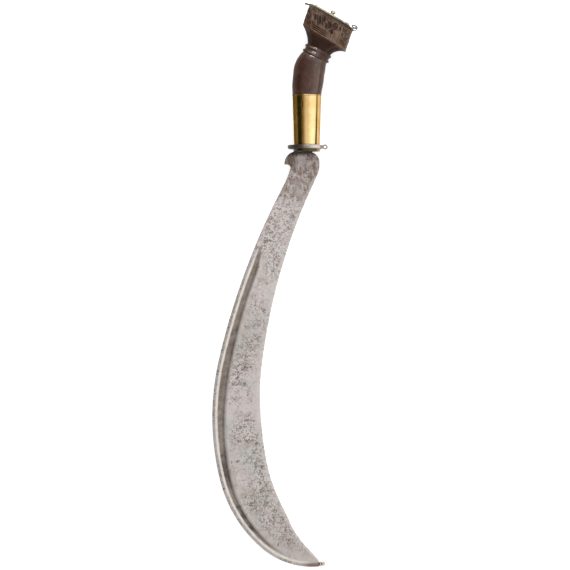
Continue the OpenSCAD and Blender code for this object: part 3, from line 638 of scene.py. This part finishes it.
# Sleeve
# Sheet brass bent round the wood, a little wider at the grip, with a bead round its top
# and a seam that has opened at the guard. A nick near the top shows the wood.
# Its left third is painted brown to near black, a painted dark reflection.
SLEEVE_FOOT, SLEEVE_LENGTH = 2.25, 60.2
SLEEVE_LOW, SLEEVE_HIGH, SHEET = 15.4, 17.3, 0.9
SEAM_AT, SEAM_WIDE, SEAM_SHUT, SEAM_OPEN_RUN = radians(50), 2.6, 0.5, 40
BEAD, BEAD_RISE, LIP_LONG, LIP_DEEP = 0.7, 0.55, 1.2, 0.25
DENT_DEEP, NICK_DEEP = 0.12, 0.55
NICK = (-4.3, 48.0, 0.9, 3.8)


def in_nick(x, y):
    """1 in the middle of the nick and 0 on its outline, less than 0 outside it."""
    nx, ny, wide, tall = NICK
    return 1 - max(abs(x - nx) / wide, abs(y - ny) / tall)


def sleeve_point(angle, y, from_seam):
    """The sleeve's outer radius, with its dents, bead, lip, hems and nick."""
    r = mix(SLEEVE_LOW, SLEEVE_HIGH, y / SLEEVE_LENGTH)
    wave = noise.noise(Vector((cos(angle) * 1.3, sin(angle) * 1.3, y * 0.05)))
    from_top = SLEEVE_LENGTH - BEAD - y
    bead = BEAD_RISE * sqrt(max(0, 1 - (from_top / BEAD) ** 2))
    under_bead = (from_top - BEAD) / LIP_LONG
    lip = LIP_DEEP * (1 - under_bead) if 0 < under_bead < 1 else 0
    foot = 0.18 * max(0, 1 - y / 0.7)
    hem = 0.2 * max(0, 1 - from_seam / 1.5)
    nick = NICK_DEEP * soft(in_nick(r * sin(angle), y)) * (cos(angle) > 0)
    return r - DENT_DEEP * (0.5 + wave) + bead - lip - foot - hem - nick


def sleeve_mesh():
    rows, sides = 90, 220
    work = bmesh.new()
    outer, inner = [], []
    for j in range(rows + 1):
        y = SLEEVE_LENGTH * j / rows
        r = mix(SLEEVE_LOW, SLEEVE_HIGH, y / SLEEVE_LENGTH)
        half = mix(SEAM_WIDE, SEAM_SHUT, min(1, y / SEAM_OPEN_RUN)) / 2 / r
        ring_out, ring_in = [], []
        for i in range(sides + 1):
            angle = SEAM_AT + half + (tau - 2 * half) * i / sides
            out = sleeve_point(angle, y, min(i, sides - i))
            for ring, radius in ((ring_out, out), (ring_in, r - SHEET)):
                ring.append(work.verts.new((radius * sin(angle), SLEEVE_FOOT + y, radius * cos(angle))))
        outer.append(ring_out)
        inner.append(ring_in)
    for j in range(rows):
        for i in range(sides):
            work.faces.new((outer[j][i], outer[j][i + 1], outer[j + 1][i + 1], outer[j + 1][i]))
            work.faces.new((inner[j][i], inner[j + 1][i], inner[j + 1][i + 1], inner[j][i + 1]))
        for i in (0, sides):
            work.faces.new((outer[j][i], outer[j + 1][i], inner[j + 1][i], inner[j][i]))
    for j in (0, rows):
        for i in range(sides):
            work.faces.new((outer[j][i], inner[j][i], inner[j][i + 1], outer[j][i + 1]))
    bmesh.ops.recalc_face_normals(work, faces=work.faces)
    mesh = mesh_of("sleeve", work)
    seam_dirt, nick_dirt, shade, height = [], [], [], []
    for x, y, z in (v.co for v in mesh.vertices):
        angle = atan2(x, z)
        turn = degrees(angle)
        seam_dirt.append(soft(1.6 - abs(angle - SEAM_AT) * hypot(x, z) / 1.3))
        nick_dirt.append(soft(0.5 + in_nick(x, y - SLEEVE_FOOT)) * (z > 0))
        # painted dark reflection: marks the left third of the sleeve to be painted brown to near black,
        # and the part right of the seam a little darker
        shade.append(soft((14 - turn) / 46) * soft((turn + 175) / 60) + 0.22 * soft((turn - 50) / 8))
        height.append((y - SLEEVE_FOOT) / SLEEVE_LENGTH)
    mark(mesh, seam=seam_dirt, nick=nick_dirt, patina=shade, height=height)
    return mesh


# the two patina colours paint the dark left third of the sleeve, a painted dark reflection
SLEEVE = {
    "bright": (0.86, 0.61, 0.30), "deep": (0.76, 0.50, 0.21), "tint": (0.62, 0.43, 0.20),
    "patina": (0.44, 0.26, 0.055), "painted dark reflection": (0.125, 0.075, 0.021),
    "streak": (0.50, 0.33, 0.13), "spot": (0.20, 0.12, 0.05), "end": (0.25, 0.16, 0.07),
    "seam": (0.16, 0.10, 0.04), "wood": (0.16, 0.06, 0.025),
}


def sleeve_brass():
    finish = Finish("sleeve brass", 1.0, 0.22, SLEEVE["bright"])
    finish.feed("Specular Tint", (*SLEEVE["tint"], 1))
    place = finish.pattern()
    tone = step(grain(place, 45, 3, 0.55), 0.35, 0.68)
    finish.layer(tone, SLEEVE["deep"])
    # painted dark reflection: the patina attribute paints the left third of the sleeve brown to near
    # black
    patina = finish.read("patina") * (grain(place, 60, 4, 0.6) * 0.6 + 0.55)
    finish.layer(step(patina, 0.05, 0.5), SLEEVE["patina"])
    finish.layer(step(patina, 0.35, 0.9), SLEEVE["painted dark reflection"])
    streak = grain(finish.pattern((190, 14, 190)), 1.0, 4, 0.6)
    finish.layer(step(streak, 0.5, 0.75) * 0.35, SLEEVE["streak"])
    dots = made(finish.tree, "ShaderNodeTexVoronoi", {"Vector": place, "Scale": 330}, "Distance")
    some = step(grain(place, 120, 3, 0.6), 0.55, 0.66)
    finish.layer(step(dots, 0.16, 0.06) * some * 0.6, SLEEVE["spot"])
    height, seam = finish.read("height"), finish.read("seam")
    ends = most(step(height, 0.03, 0.0), step(height, 0.955, 0.97))
    finish.layer(ends * 0.35, SLEEVE["end"])
    finish.layer(seam * 0.8, SLEEVE["seam"])
    finish.layer(finish.read("nick") * 0.85, SLEEVE["wood"])
    finish.feed("Roughness", seam * 0.2 + (tone * 0.08 + 0.24))
    finish.bump(grain(place, 150, 4, 0.6) + streak * 0.4, 0.0003)
    return finish.material


sleeve = lay_down("brass_sleeve", sleeve_mesh(), sleeve_brass())
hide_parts("grip_sleeve")
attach(sleeve, "axe")


# Grip and pommel
# One piece of dark carved wood: a swelling grip with soft facets, a collar of two
# polished beads, a neck, and a leaning block whose faces are carved with flutes, a
# scroll and a band of reeds. Its end is turned down to sit in the sleeve.
GRIP_FOOT = SLEEVE_FOOT + SLEEVE_LENGTH
GRIP_HALF, GRIP_DEEP = 19.6, 17.3
COLLAR = Vector((12.2, GRIP_FOOT + 49.4))
COLLAR_SLOPE, COLLAR_HALF, COLLAR_OVAL = 27, 17.3, 0.86
BEAD_GAP, BEAD_HIGH, BEAD_REACH, BEAD_STEPS = 6.3, 0.9, 1.5, 9
NECK_HALF, NECK_OVAL = 15.8, 0.88
UNDER = COLLAR + Vector((8.55, 17.75))
UNDER_SLOPE, TOP_SLOPE, LEAN = 31.8, 30, 18.9
POMMEL_HALF, POMMEL_DEEP, POMMEL_LONG, CHAMFER = 29.1, 19, 25.9, 10
CREASES = (42, 138, 222, 318)
LEVELS_TO_COLLAR, STEPS = 10, 5


def leaning(turn):
    """The way up the drawing, leaned towards the edge by this many degrees."""
    return Vector((sin(radians(turn)), cos(radians(turn))))


def facets(angle, strength):
    """Slightly flattens an oval between the creases that the knife left."""
    turn = degrees(angle) % 360
    for a, b in zip(CREASES, CREASES[1:] + (CREASES[0] + 360,)):
        here = turn if turn >= CREASES[0] else turn + 360
        if a <= here <= b:
            u = (here - a) / (b - a)
            return 1 - strength * sin(pi * u) ** 2
    return 1


def oval_point(angle, hx, hz, block, flat):
    """A point of a level, seen along the handle: 0 is towards the edge, 90 the seen face."""
    c, s = cos(angle), sin(angle)
    k = POMMEL_HALF + POMMEL_DEEP - CHAMFER
    grow = min(1 / max(abs(c), 1e-4), 1 / max(abs(s), 1e-4),
               k / (abs(c) * POMMEL_HALF + abs(s) * POMMEL_DEEP))
    keep = facets(angle + pi / 2, flat * (1 - block))
    return hx * c * mix(1, grow, block) * keep, hz * s * mix(1, grow, block) * keep


def wood_levels():
    """The levels of the grip: middle, half width, half depth, slope, block share, facets."""
    def collar_at(s):
        return COLLAR + s * leaning(COLLAR_SLOPE)

    seat = collar_at(-BEAD_GAP / 2 - BEAD_REACH)
    r1 = SLEEVE_HIGH
    rows = [(Vector((0, GRIP_FOOT + 0.02)), r1 - 0.3, r1 - 0.3, 0, 0, 0),
            (Vector((0, GRIP_FOOT + 0.5)), r1, r1, 0, 0, 0.002)]
    swell = GRIP_HALF, GRIP_DEEP
    waist = COLLAR_HALF - BEAD_HIGH, COLLAR_HALF * COLLAR_OVAL - BEAD_HIGH
    for (w0, d0), (w1, d1), flat, levels in (
            ((r1, r1), swell, 0.04, ((0.03, 0.1, 0.5, 0.4, 0), (0.08, 0.24, 0.85, 0.8, 0),
                                     (0.16, 0.4, 0.98, 1, 0), (0.23, 0.55, 1, 1, 0.04))),
            (swell, waist, 0.02, ((0.33, 0.705, 0.09, 0.05, 0.17), (0.51, 0.845, 0.4, 0.21, 0.37),
                                  (0.74, 0.94, 0.7, 0.47, 0.56), (0.92, 0.985, 0.92, 0.68, 0.8)))):
        for ax, ay, qw, qd, qs in levels:
            rows.append((Vector((ax * seat.x, mix(GRIP_FOOT, seat.y, ay))), mix(w0, w1, qw),
                         mix(d0, d1, qd), COLLAR_SLOPE * qs, 0, flat))
    for side in (-BEAD_GAP / 2, BEAD_GAP / 2):
        for k in range(BEAD_STEPS):
            u = 2 * k / (BEAD_STEPS - 1) - 1
            drop = BEAD_HIGH * (1 - sqrt(max(0, 1 - u * u)))
            extra = 0.5 if abs(u) == 1 else 0
            rows.append((collar_at(side + u * BEAD_REACH), COLLAR_HALF - drop - extra,
                         COLLAR_HALF * COLLAR_OVAL - drop - extra, COLLAR_SLOPE, 0, 0.004))
    for q, qw, qd, qs, block in ((0.33, 0, 0, 0, 0), (0.52, 0.16, 0.3, 0.1, 0.1),
                                 (0.72, 0.42, 0.6, 0.4, 0.4), (0.88, 0.7, 0.85, 0.7, 0.8)):
        rows.append((COLLAR.lerp(UNDER, q), mix(NECK_HALF, POMMEL_HALF, qw),
                     mix(NECK_HALF * NECK_OVAL, POMMEL_DEEP, qd),
                     mix(COLLAR_SLOPE, UNDER_SLOPE, qs), block, 0.01))
    rows.append((UNDER, POMMEL_HALF + 0.3, POMMEL_DEEP - 0.1, UNDER_SLOPE, 1, 0))
    return rows


def smooth_rows(rows):
    """Adds levels between the given ones on a curve through them, but not in the collar."""
    sharp_end = LEVELS_TO_COLLAR + 2 * BEAD_STEPS - 1
    out = []
    for i in range(len(rows) - 1):
        p = [rows[max(0, i - 1)], rows[i], rows[i + 1], rows[min(len(rows) - 1, i + 2)]]
        many = 1 if LEVELS_TO_COLLAR <= i < sharp_end else STEPS
        for k in range(many):
            u = k / many
            level = []
            for a, b, c, d in zip(*p):
                level.append(0.5 * ((2 * b) + (c - a) * u + (2 * a - 5 * b + 4 * c - d) * u * u
                                    + (3 * b - a - 3 * c + d) * u ** 3))
            out.append(tuple(level))
    return out + [rows[-1]]


# upright flutes: the place across, the two ends and the width of each, in millimetres
# from the middle of the block's underside; the last two are lone deep cuts
FLUTES = [(-9.6, 19.8, 27.5, 1.3), (-6.6, 15.2, 26.0, 0.9), (-3.9, 14.0, 26.2, 1.5),
          (-0.8, 12.5, 25.0, 0.9), (1.6, 15.5, 26.0, 1.2), (3.2, 9.0, 17.6, 1.3),
          (5.6, 9.0, 20.0, 0.8), (8.0, 9.2, 18.6, 1.5), (9.6, 2.2, 9.4, 1.7), (20.3, 7.2, 11.0, 1.2)]
FLUTE_DEEP, FLUTE_HALF = 1.25, 1.25
SCROLL, SCROLL_RADIUS, SCROLL_PITCH, SCROLL_DEEP = (13.9, 13.0), 4.6, 2.2, 1.2
REED_PITCH, REED_DEEP = 2.3, 1.0
BARE_PATCH = (17, 3.5, 3.8, 4.2)
HOLLOWS = [(19.5, 15.5, 1.2, 3.4, 0.7), (25.2, 9.0, 1.3, 5.2, 0.55), (12.6, 8.2, 3.4, 0.9, 0.6),
           (24.0, 3.2, 3.2, 0.9, 0.45)]


def strokes(x, y, seed):
    """Shallow upright marks that a small gouge left all over the ground."""
    cloud = noise.noise(Vector((x * 0.75, y * 0.22, seed))) \
        + 0.6 * noise.noise(Vector((x * 1.1, y * 0.7, seed + 3)))
    return 0.55 * soft((cloud + 0.02) / 0.55)


def carving(a, l, top, bottom):
    """Depth cut into a broad face of the block at a across and l along its lean."""
    lean = radians(LEAN)
    stray = Vector((a, l, 3.0)) * 0.45
    x = a * cos(lean) + l * sin(lean) + 0.7 * noise.noise(stray)
    y = l * cos(lean) - a * sin(lean) + 0.9 * noise.noise(stray + Vector((9, 4, 0)))
    from_top, from_foot = top - l, l - bottom

    def inside(cx, cy, rx, ry):
        return 1 - hypot((x - cx) / rx, (y - cy) / ry)

    depth = strokes(x, y, 5) * (1 - soft(inside(*BARE_PATCH) + 0.3))
    for line, deep in ((2.0, 0.5), (3.6, 0.65)):
        depth = max(depth, deep * soft(1 - abs(from_top - line) / 0.8))
    for at, low, high, wide in FLUTES:
        u = min(1, abs(2 * (y - low) / (high - low) - 1))
        half = FLUTE_HALF * wide * (1 - u * u) ** 0.4 + 0.01
        off = min(1, abs(x - at - 0.04 * (y - low)) / half)
        depth = max(depth, FLUTE_DEEP * (1 - off * off) * (1 - u ** 4))
    r = hypot(x - SCROLL[0], y - SCROLL[1])
    turn = atan2(y - SCROLL[1], x - SCROLL[0])
    if r < SCROLL_RADIUS:
        coil = 0.5 - 0.5 * cos(tau * (r / SCROLL_PITCH + turn / tau))
        depth = mix(depth, SCROLL_DEEP * coil, soft((SCROLL_RADIUS - r) / 0.7))
    arch = 7.6 + 0.012 * (a + 2) ** 2
    reed = 0.5 - 0.5 * cos(tau * (from_foot - 0.9) / REED_PITCH)
    reeds = soft((from_foot - 0.9) / 0.5) * soft((arch - from_foot) / 0.8) * soft((7 - a) / 7)
    depth = max(depth * (1 - reeds), REED_DEEP * reeds * reed)
    for *hollow, deep in HOLLOWS:
        depth = max(depth, deep * soft(inside(*hollow) + 0.25))
    return depth


def leaf_cuts(p, q, seed):
    """Depth cut into a narrow face, p across from its middle and q up from its foot."""
    p, q = (p + 0.5 * noise.noise(Vector((p, q, seed)) * 0.4),
            q + 0.6 * noise.noise(Vector((q, p, seed)) * 0.4))
    stem = 0.55 * soft(1 - abs(p) / 1.3)
    slant = ((q - 0.75 * abs(p)) / 6.5) % 1
    vein = 0.5 * soft(1 - abs(slant - 0.5) * 5.2 / 1.3)
    inside = soft((q - 2.0) / 1.5) * soft((23.5 - q) / 1.5)
    return max(max(stem, vein, strokes(p, q, seed)) * inside, 0.5 * soft(1 - abs(q - 24.6) / 0.9))


def skinned(name, rings):
    """A skin over rings of points, with a fan on each end."""
    work = bmesh.new()
    rings = [[work.verts.new(point) for point in ring] for ring in rings]
    n = len(rings[0])
    for lower, upper in zip(rings, rings[1:]):
        for i in range(n):
            work.faces.new((lower[i], lower[(i + 1) % n], upper[(i + 1) % n], upper[i]))
    for ring in (rings[0], rings[-1]):
        middle = work.verts.new(sum((v.co for v in ring), Vector()) / n)
        for i in range(n):
            work.faces.new((middle, ring[i], ring[(i + 1) % n]))
    bmesh.ops.recalc_face_normals(work, faces=work.faces)
    return mesh_of(name, work)


def pommel_mesh():
    """The leaning block as a fine grid round its eight faces, carved inwards."""
    tl, tu = tan(radians(UNDER_SLOPE - LEAN)), tan(radians(TOP_SLOPE - LEAN))
    up, across = leaning(LEAN), leaning(LEAN + 90)
    rows, pitch, carved_high, worn_high = 90, 0.3, 26, 30
    broad, near = (2, 6), (0, 1)
    hx, hz, ch = POMMEL_HALF, POMMEL_DEEP, CHAMFER
    rings, cuts, worn, dusty = [], [], [], []
    sides = None
    for j in range(rows + 1):
        v = j / rows
        left = mix(12.4, 4.5, v)
        corners = [(hx, ch - hz), (hx, hz - ch), (hx - ch, hz), (left - hx, hz), (-hx, hz - ch),
                   (-hx, ch - hz), (left - hx, -hz), (hx - ch, -hz)]
        runs = list(zip(corners, corners[1:] + corners[:1]))
        ways = [Vector((q[1] - p[1], p[0] - q[0])).normalized() for p, q in runs]
        sides = sides or [max(3, round(dist(p, q) / pitch)) for p, q in runs]
        ring = []
        for k, (p, q) in enumerate(runs):
            long = dist(p, q)
            for i in range(sides[k]):
                out = ways[k] if i else (ways[k] + ways[k - 1]).normalized()
                u = i / sides[k]
                a, z = mix(p[0], q[0], u), mix(p[1], q[1], u)
                bottom, top = -a * tl, POMMEL_LONG - a * tu
                l = mix(bottom, top, v)
                from_side, from_foot = min(u, 1 - u) * long, v * carved_high
                rim = soft(from_side / 0.8)
                depth = rim * (carving(a, l, top, bottom) if k in broad
                               else leaf_cuts((u - 0.5) * long, from_foot, k))
                rough = 0.35 * (0.5 + noise.noise(Vector((a, l, z)) * 0.16)) \
                    + 0.14 * (0.5 + noise.noise(Vector((a, l, z)) * 0.6))
                edge = 0.35 * (1 - soft(from_side / 0.7)) \
                    + 0.4 * (1 - soft(v * worn_high / 0.8)) + 0.25 * (1 - soft((1 - v) * worn_high / 0.6))
                cut = depth + rough + edge
                at = UNDER + (a - out[0] * cut) * across + l * up
                ring.append((at.x, at.y, z - out[1] * cut))
                cuts.append(depth)
                dusty.append(1.0 if k in broad else 0.5 if k in near else 0.14)
                worn.append(max(soft(1.3 - from_foot / 1.3), 0.75 * soft(1.2 - from_side / 0.9),
                                0.4 * soft(1 - depth / 0.12) * rim))
        rings.append(ring)
    mesh = skinned("pommel", rings)
    mark(mesh, carved=cuts, worn=worn, dust=dusty, polish=())
    return mesh


def grip_mesh():
    slope_up = leaning(COLLAR_SLOPE)
    sides = 144
    rings, worn, dirt, polish = [], [], [], []
    for middle, hx, hz, slope, block, flat in smooth_rows(wood_levels()):
        over = (middle - COLLAR).dot(slope_up)
        a = radians(slope)
        body = min(1, max(0, flat) * 40)
        collar = soft((over + 13) / 9)
        ring = []
        for i in range(sides):
            angle = tau * i / sides
            p, z = oval_point(angle, hx, hz, min(1, max(0, block)), max(0, flat))
            ring.append((middle.x + p * cos(a), middle.y - p * sin(a), z))
            turn = degrees(angle + pi / 2) % 360
            rubbed = max(soft(1 - min(abs(turn - c), 360 - abs(turn - c)) / 6) * deep
                         for c, deep in zip(CREASES, (0.2, 0.5, 0.1, 0.2)))
            u = p / hx
            # painted highlight: a pale streak along the seen crest of each bead, stored in worn with the
            # real wear
            bead_highlight = soft(1.3 - abs(abs(over) - BEAD_GAP / 2) / 0.8) * soft(1.3 - abs(u + 0.3) / 0.3)
            worn.append(max(rubbed * body, 1.3 * bead_highlight * (z > 0)))
            lit = soft((u + 0.8) / 0.5) * (1 - 0.85 * collar * soft((u - 0.1) / 0.3))
            lit *= 1 + 1.5 * (1 - collar) * soft((u - 0.02) / 0.25) * soft((0.68 - u) / 0.1)
            polish.append(mix(0.17, 1, collar) * soft((5.4 - over) / 0.8) * lit)
            dirt.append(0.75 * soft((over - 4.2) / 2.0) * soft((19.5 - over) / 4)
                        + 0.8 * soft(1 - abs(over) / 2.0) + 0.5 * body * soft(1 - abs(turn - 130) / 6))
        rings.append(ring)
    mesh = skinned("grip", rings)
    mark(mesh, worn=worn, carved=dirt, dust=(), polish=polish)
    return mesh


def spigot_mesh():
    """The turned-down end of the grip inside the sleeve."""
    low, high = SLEEVE_LOW - SHEET, SLEEVE_HIGH - SHEET - 0.12
    mesh = turned_mesh("spigot", [(0.1, low - 0.4), (0.11, low - 0.1), (SLEEVE_LENGTH, high),
                                  (SLEEVE_LENGTH + 4, high)], 72)
    mesh.transform(Matrix.Translation((0, SLEEVE_FOOT, 0)) @ Matrix.Rotation(pi / 2, 4, "Z"))
    mark(mesh, worn=(), carved=(), dust=(), polish=())
    return mesh


WOOD = {
    "dark fibre": (0.022, 0.008, 0.004), "light fibre": (0.088, 0.034, 0.019),
    "red": (0.085, 0.030, 0.020), "rubbed": (0.150, 0.080, 0.048), "black": (0.012, 0.006, 0.004),
    "pore": (0.010, 0.005, 0.004), "dust": (0.180, 0.130, 0.098),
    "brown dust": (0.120, 0.064, 0.045), "dirt": (0.018, 0.009, 0.005), "tan wear and bead highlight": (0.25, 0.175, 0.105),
}


def grip_wood():
    finish = Finish("grip wood", 0.0, 0.38, WOOD["dark fibre"])
    finish.feed("Specular IOR Level", 0.11)
    finish.feed("Coat Roughness", 0.16)
    finish.feed("Coat IOR", 1.8)
    place = finish.pattern()
    carved, worn, polish, dust = (finish.read(name) for name in ("carved", "worn", "polish", "dust"))
    fibre = grain(finish.pattern((260, 24, 260), (0, 0, 0.1)), 1.0, 5, 0.62, 0.6)
    cloud = step(grain(place, 55, 3, 0.55), 0.38, 0.64)
    mottle = step(grain(place, 210, 3, 0.6), 0.35, 0.68)
    rubbed = step(grain(place, 85, 4, 0.6, 0.8), 0.50, 0.66)
    pore = step(grain(finish.pattern((750, 110, 750)), 1.0, 2, 0.5), 0.62, 0.74)
    pore *= dust * -0.75 + 1.0
    finish.layer(fibre, WOOD["light fibre"])
    finish.layer(cloud * 0.5, WOOD["red"])
    finish.layer(rubbed * 0.34, WOOD["rubbed"])
    finish.layer(mottle * 0.35, WOOD["black"])
    finish.layer(pore * 0.6, WOOD["pore"])

    # brown dust on the block's raised work, black dirt in its cuts, tan on worn arrises, and a painted
    # highlight streak on each bead
    earth = tint(step(grain(place, 120, 3, 0.6, 0.6), 0.36, 0.62), WOOD["dust"], WOOD["brown dust"])
    finish.layer(dust * (mottle * -0.62 + 0.95), earth)
    finish.layer(step(carved, 0.05, 1.1) * 0.88, WOOD["dirt"])
    finish.layer(worn * 0.62, WOOD["tan wear and bead highlight"])
    finish.feed("Coat Weight", polish * 0.95 + 0.04)
    rough = polish * -0.10 + (fibre * 0.2 + 0.28)
    finish.feed("Roughness", step(carved, 0.1, 0.75) * 0.3 + rough)
    finish.bump(fibre * 0.6 - pore, 0.0002)
    return finish.material


wood = lay_down("carved_grip", joined_mesh("wood", [grip_mesh(), pommel_mesh(), spigot_mesh()]),
                grip_wood())
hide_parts("grip")
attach(wood, "axe")


# Resin round the tang
# Lac melted round the tang in the bored wood. It holds the blade in the handle, and
# nothing of it shows.
def resin():
    finish = Finish("lac resin", 0.0, 0.55, (0.03, 0.015, 0.01))
    finish.layer(grain(finish.pattern(), 200, 4, 0.6), (0.08, 0.04, 0.025))
    return finish.material


coat("tang_resin", resin())


# Cap
# A thin crowned plate on the slanted top, with a bent tongue at one end and a raised lip
# at the other. Its crown is painted pale, a painted light from above, and its edge is brown.
TOP = UNDER + POMMEL_LONG * leaning(LEAN)
top_up = edge_way * sin(radians(TOP_SLOPE)) + handle_up * cos(radians(TOP_SLOPE))
top_place = laid @ Vector((TOP.x, TOP.y, 0))


def cap_metal():
    finish = Finish("cap metal", 0.5, 0.42, (0.028, 0.019, 0.009))
    place = finish.pattern()
    # height over the seat of the plate, along the cap's own axis
    along_axis = made(finish.tree, "ShaderNodeVectorMath", {0: place, 1: top_up}, "Value",
                      operation="DOT_PRODUCT")
    # painted light: the crown above the plate's seat is painted pale beige, as if lit from above
    painted_light_on_crown = step(along_axis - top_up.dot(top_place), 0.0012, 0.0017)
    mottle = step(grain(place, 130, 5, 0.62, 0.5), 0.35, 0.65)
    finish.layer(mottle, (0.090, 0.064, 0.034))
    finish.layer(painted_light_on_crown, tint(mottle, (0.22, 0.18, 0.125), (0.48, 0.42, 0.32)))
    finish.bump(grain(place, 600, 4, 0.6), 0.0002)
    return finish.material


def eased_mesh(name, node, width):
    """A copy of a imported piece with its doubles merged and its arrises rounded."""
    work = bmesh.new()
    work.from_mesh(frame["nodes"][node].data)
    bmesh.ops.remove_doubles(work, verts=work.verts, dist=2e-6)
    bmesh.ops.dissolve_limit(work, angle_limit=radians(0.6), verts=work.verts, edges=work.edges)
    sharp = [e for e in work.edges if len(e.link_faces) == 2 and e.calc_face_angle() > radians(34)]
    bmesh.ops.bevel(work, geom=sharp, offset=width, segments=2, profile=0.6, affect="EDGES",
                    clamp_overlap=True)
    bmesh.ops.triangulate(work, faces=[f for f in work.faces if len(f.verts) > 4])
    mesh = mesh_of(name, work)
    mesh.set_sharp_from_angle(angle=radians(30))
    return mesh


cap_mesh = eased_mesh("cap", "pommel_cap", 0.00018)
cap_mesh.materials.append(cap_metal())
cap = placed("crowned_cap", cap_mesh)
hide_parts("pommel_cap")
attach(cap, "axe")


# Nails, finial, eye, ring
# Iron nails hold the cap; a pierced brass button on a flared washer stands on it. A bent
# brass wire in the corner carries a ring of dark iron wire, which swings.
def small_metal(name, metallic, roughness, dark, light, scale, shine=0.5):
    finish = Finish(name, metallic, roughness, dark)
    finish.feed("Specular IOR Level", shine)
    place = finish.pattern()
    worn = step(grain(place, scale, 4, 0.6), 0.36, 0.64)
    finish.layer(worn, light)
    finish.bump(grain(place, scale * 3, 3, 0.6), 0.0001)
    return finish.material


for node, finish in (
        ("cap_nails", ("nail iron", 0.6, 0.5, (0.07, 0.05, 0.04), (0.26, 0.2, 0.17), 400)),
        ("finial", ("finial brass", 0.85, 0.36, (0.22, 0.17, 0.10), (0.52, 0.44, 0.29), 350)),
        ("finial_washer", ("flared brass", 0.85, 0.36, (0.24, 0.19, 0.11), (0.55, 0.47, 0.32), 350)),
        ("cap_eye", ("eye brass", 0.85, 0.4, (0.10, 0.065, 0.035), (0.34, 0.24, 0.13), 500)),
        ("pommel_ring", ("ring iron", 0.05, 0.5, (0.005, 0.004, 0.004), (0.022, 0.018, 0.017), 450,
                         0.15))):
    coat(node, small_metal(*finish))


# Studio
# The table is plain and pale, lit softly from the right, with a dark card to the left
# that gives the brass and the iron their dark side.
def table_paper():
    finish = Finish("table paper", 0.0, 0.9, (0.82, 0.82, 0.82))
    camera_ray = made(finish.tree, "ShaderNodeLightPath", output="Is Camera Ray")
    glossy_ray = made(finish.tree, "ShaderNodeLightPath", output="Is Glossy Ray")
    shown = most(camera_ray, glossy_ray * 0.4) * 0.55
    light = made(finish.tree, "ShaderNodeEmission", {"Color": (1, 1, 1, 1), "Strength": shown})
    both = made(finish.tree, "ShaderNodeAddShader", {0: Value(finish.shader.outputs[0]), 1: light})
    feed(finish.tree.nodes["Material Output"].inputs["Surface"], both)
    return finish.material


bpy.ops.mesh.primitive_plane_add(size=14, location=(0, 0, 0))
table = bpy.context.object
table.name = "table"
table.data.materials.append(table_paper())


def soft_box(name, place, aim, wide, tall, power):
    lamp = bpy.data.lights.new(name, "AREA")
    lamp.shape, lamp.size, lamp.size_y, lamp.energy = "RECTANGLE", wide, tall, power
    box = placed(name, lamp)
    box.location = place
    box.rotation_euler = (Vector(aim) - Vector(place)).to_track_quat("-Z", "Y").to_euler()


soft_box("right box", (1.5, -0.1, 1.5), (0, -0.16, 0), 1.2, 1.8, 3.4)
soft_box("small box", (0.0, 1.5, 1.3), (0, 0.1, 0), 0.8, 0.22, 16)

sky = bpy.data.worlds.new("studio")
bpy.context.scene.world = sky
sky.use_nodes = True
tree, ground = sky.node_tree, sky.node_tree.nodes["Background"]
way, _, _ = parts(made(tree, "ShaderNodeTexCoord", output="Generated"))
dark_card, right_glow = step(way, -0.88, -0.22), step(way, 0.20, 0.85)
level = dark_card * 0.83 + 0.09 + right_glow * 0.3
feed(ground.inputs["Strength"], most(level, made(tree, "ShaderNodeLightPath", output="Is Camera Ray")))
feed(ground.inputs["Color"], (1, 1, 1, 1))

CAMERA_PLACE = (-0.02628, -0.1656, 2.2)
VIEW_HALF, VIEW_FAR = 0.342, 2.176
camera = placed("camera", bpy.data.cameras.new("camera"))
camera.location = CAMERA_PLACE
camera.data.angle = 2 * atan(VIEW_HALF / VIEW_FAR)
camera.data.clip_end = 30
bpy.context.scene.camera = camera
bpy.context.scene.view_settings.view_transform = "Standard"
